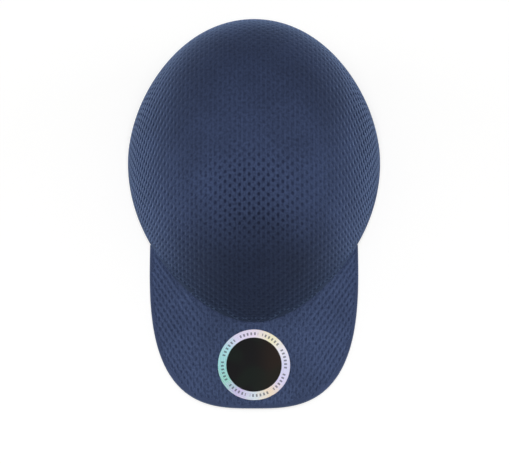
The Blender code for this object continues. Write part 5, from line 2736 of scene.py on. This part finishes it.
@dataclass(frozen=True)
class CadDress:
    """Materials and soft edges for the CAD solids that stay in view."""

    frame: dict
    metal: tuple[tuple[str, float], ...] = (
        ("buckle_frame", 0.25 * MM), ("buckle_lever", 0.25 * MM), ("buckle_pin", 0.0), (
            "strap_tip", 0.2 * MM
        )
    )

    def build(self, steel: Material, board: Material) -> None:
        """Dress the metal parts and the peak board.

        Args:
            steel: Brushed metal.
            board: Sheet of the peak.
        """
        for node, edge in self.metal:
            self.dress(node, steel, edge)
        self.dress("peak_board", board)

    def dress(self, node: str, material: Material, edge: float = 0.0) -> None:
        """Give a CAD solid its material and, where asked, rounded edges.

        Args:
            node: Name of the CAD solid.
            material: Its material.
            edge: Width of the rounding, or 0.
        """
        piece = bpy.data.objects[node] if node in bpy.data.objects else self.frame["nodes"][node]
        for slot in piece.material_slots:
            slot.material = material
        if not piece.material_slots:
            piece.data.materials.append(material)
        if edge > 0.0:
            soften(piece, edge, 2, 35.0)
        LOG.info("%s: dressed CAD solid", node)


@dataclass(frozen=True)
class LampPlan:
    """Place, size, power and colour of one square soft light."""

    name: str
    place: tuple[float, float, float]
    size: float
    power: float
    colour: Colour


@dataclass(frozen=True)
class Studio:
    """Plain pale floor, soft lights and the camera."""

    target: tuple[float, float, float] = (0.0007, -0.0252, 0.040)
    elevation: float = 65.4
    distance: float = 1.5023
    lens: float = 152.5
    floor_level: float = 0.0
    floor_half: float = 6.0
    ambient: float = 0.25
    floor_glow: float = 0.57
    floor_bounce: float = 0.80
    floor_seen: float = 0.50
    floor_fade: Zone = (0.35, 1.20)
    lamps: tuple[LampPlan, ...] = (
        LampPlan("key_front_top", (0.0, -0.55, 1.90), 0.8, 24.0, (1.0, 0.99, 0.97)),
        LampPlan("left_side", (-1.7, 0.1, 0.55), 1.0, 7.0, (0.93, 0.97, 1.0)),
        LampPlan("right_side", (1.7, 0.1, 0.55), 1.0, 7.0, (0.93, 0.97, 1.0)),
    )

    def build(self) -> None:
        """Place everything that isn't part of the cap."""
        scene = bpy.context.scene
        scene.view_settings.view_transform = "Standard"
        self.world(scene)
        self.floor()
        for plan in self.lamps:
            self.lamp(plan)
        self.camera(scene)

    def world(self, scene: Scene) -> None:
        """White for the camera and its mirrors, soft grey light for everything else.

        Args:
            scene: Scene that it belongs to.
        """
        world = bpy.data.worlds.new("studio_world")
        scene.world = world
        world.use_nodes = True
        sheet = NodeSheet(world.node_tree)
        back = world.node_tree.nodes["Background"]
        back.inputs["Color"].default_value = (1.0, 1.0, 1.0, 1.0)
        sheet.feed(back.inputs["Strength"], sheet.seen() * (1.0 - self.ambient) + self.ambient)

    def floor(self) -> None:
        """Pale floor that keeps a soft shadow round the cap and turns white further out."""
        half, level = self.floor_half, self.floor_level
        mesh = bpy.data.meshes.new("floor")
        corners = [(x * half, y * half, level) for x, y in ((-1, -1), (1, -1), (1, 1), (-1, 1))]
        mesh.from_pydata(corners, [], [(0, 1, 2, 3)])
        floor = bpy.data.objects.new("floor", mesh)
        bpy.context.scene.collection.objects.link(floor)
        material = bpy.data.materials.new("pale_floor")
        material.use_nodes = True
        sheet = NodeSheet(material.node_tree)
        material.node_tree.nodes.remove(material.node_tree.nodes["Principled BSDF"])
        seen, place = sheet.seen(), sheet.add("ShaderNodeTexCoord")
        reach = sheet.length(place.outputs["Object"])
        seen_tone = self.floor_seen - self.floor_bounce
        shown = sheet.grade(reach, *self.floor_fade, seen_tone, -self.floor_bounce)
        matt = sheet.add("ShaderNodeBsdfDiffuse", {"Color": seen * shown + self.floor_bounce})
        strength = seen * sheet.grade(reach, *self.floor_fade, self.floor_glow, 1.0)
        glow = sheet.add("ShaderNodeEmission", {"Strength": strength})
        both = sheet.add("ShaderNodeAddShader", {0: matt.outputs[0], 1: glow.outputs[0]})
        sheet.feed(material.node_tree.nodes["Material Output"].inputs["Surface"], both.outputs[0])
        mesh.materials.append(material)
        floor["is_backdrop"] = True

    def lamp(self, plan: LampPlan) -> None:
        """Square soft light aimed at the cap.

        Args:
            plan: Place and size.
        """
        light = bpy.data.lights.new(plan.name, "AREA")
        light.size, light.energy, light.color = plan.size, plan.power, plan.colour
        lamp = bpy.data.objects.new(plan.name, light)
        lamp.location = plan.place
        aim = Vector(self.target) - Vector(plan.place)
        lamp.rotation_euler = aim.to_track_quat("-Z", "Y").to_euler()
        bpy.context.scene.collection.objects.link(lamp)

    def camera(self, scene: Scene) -> None:
        """Camera at the photograph's viewing angle.

        Args:
            scene: Scene that it belongs to.
        """
        data = bpy.data.cameras.new("camera")
        data.lens, data.sensor_width, data.sensor_fit = self.lens, 36.0, "HORIZONTAL"
        camera = bpy.data.objects.new("camera", data)
        up = math.radians(self.elevation)
        away = Vector((0.0, -math.cos(up), math.sin(up))) * self.distance
        camera.location = Vector(self.target) + away
        camera.rotation_euler = (-away).to_track_quat("-Z", "Y").to_euler()
        scene.collection.objects.link(camera)
        scene.camera = camera


def main() -> None:
    """Build every piece of the cap in order."""
    logging.basicConfig(level=logging.INFO, format="%(message)s")
    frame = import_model()
    cad_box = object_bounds()
    shop = Workshop(CENTRE_Y)
    crown, arch = CrownForm(), ArchForm()
    peak, rear = PeakForm(crown), RearForm(crown)
    arch_arc = math.asin(arch.half_width / rear.circle()[1])
    finishes = Finishes(Effects())
    cloth, webbing = finishes.cloth("lining_knit"), finishes.webbing()
    crown_fabric, peak_fabric = finishes.mesh_fabric(CROWN_FABRIC), finishes.mesh_fabric(
        PEAK_FABRIC
    )
    # Lighter copies of the lining cloth: painted highlight where the rolled edges show; the crown's
    # also takes the painted shade of its lower front and top.
    crown_edge = finishes.cloth("crown_edge_knit", 1.15, painted_shade_on=True)
    peak_edge = finishes.cloth("peak_edge_knit", 1.65)
    plastic, foam = finishes.grained(SHELL_PLASTIC), finishes.grained(PAD_FOAM)
    hook, board = finishes.grained(HOOK_PILE), finishes.grained(BOARD_SHEET)
    stitches = StitchMaker(shop, finishes.thread())
    CrownCover(shop, crown, arch).build(crown_fabric, crown_edge)
    PeakAssembly(shop, peak).build(peak_fabric, peak_edge, cloth)
    FoilSticker(shop, peak).build(finishes.foil())
    Sweatband(shop, crown, rear, arch_arc).build(cloth, stitches)
    ArchBinding(shop, crown, arch).build(cloth, stitches)
    Adjuster(shop, crown, rear, arch_arc).build(cloth, webbing, stitches)
    ImpactInsert(shop, crown).build(plastic, foam, hook, cloth)
    CadDress(frame).build(finishes.steel(), board)
    Studio(floor_level=float(cad_box[0][2]) - 0.2 * MM).build()


if __name__ == "__main__":
    main()
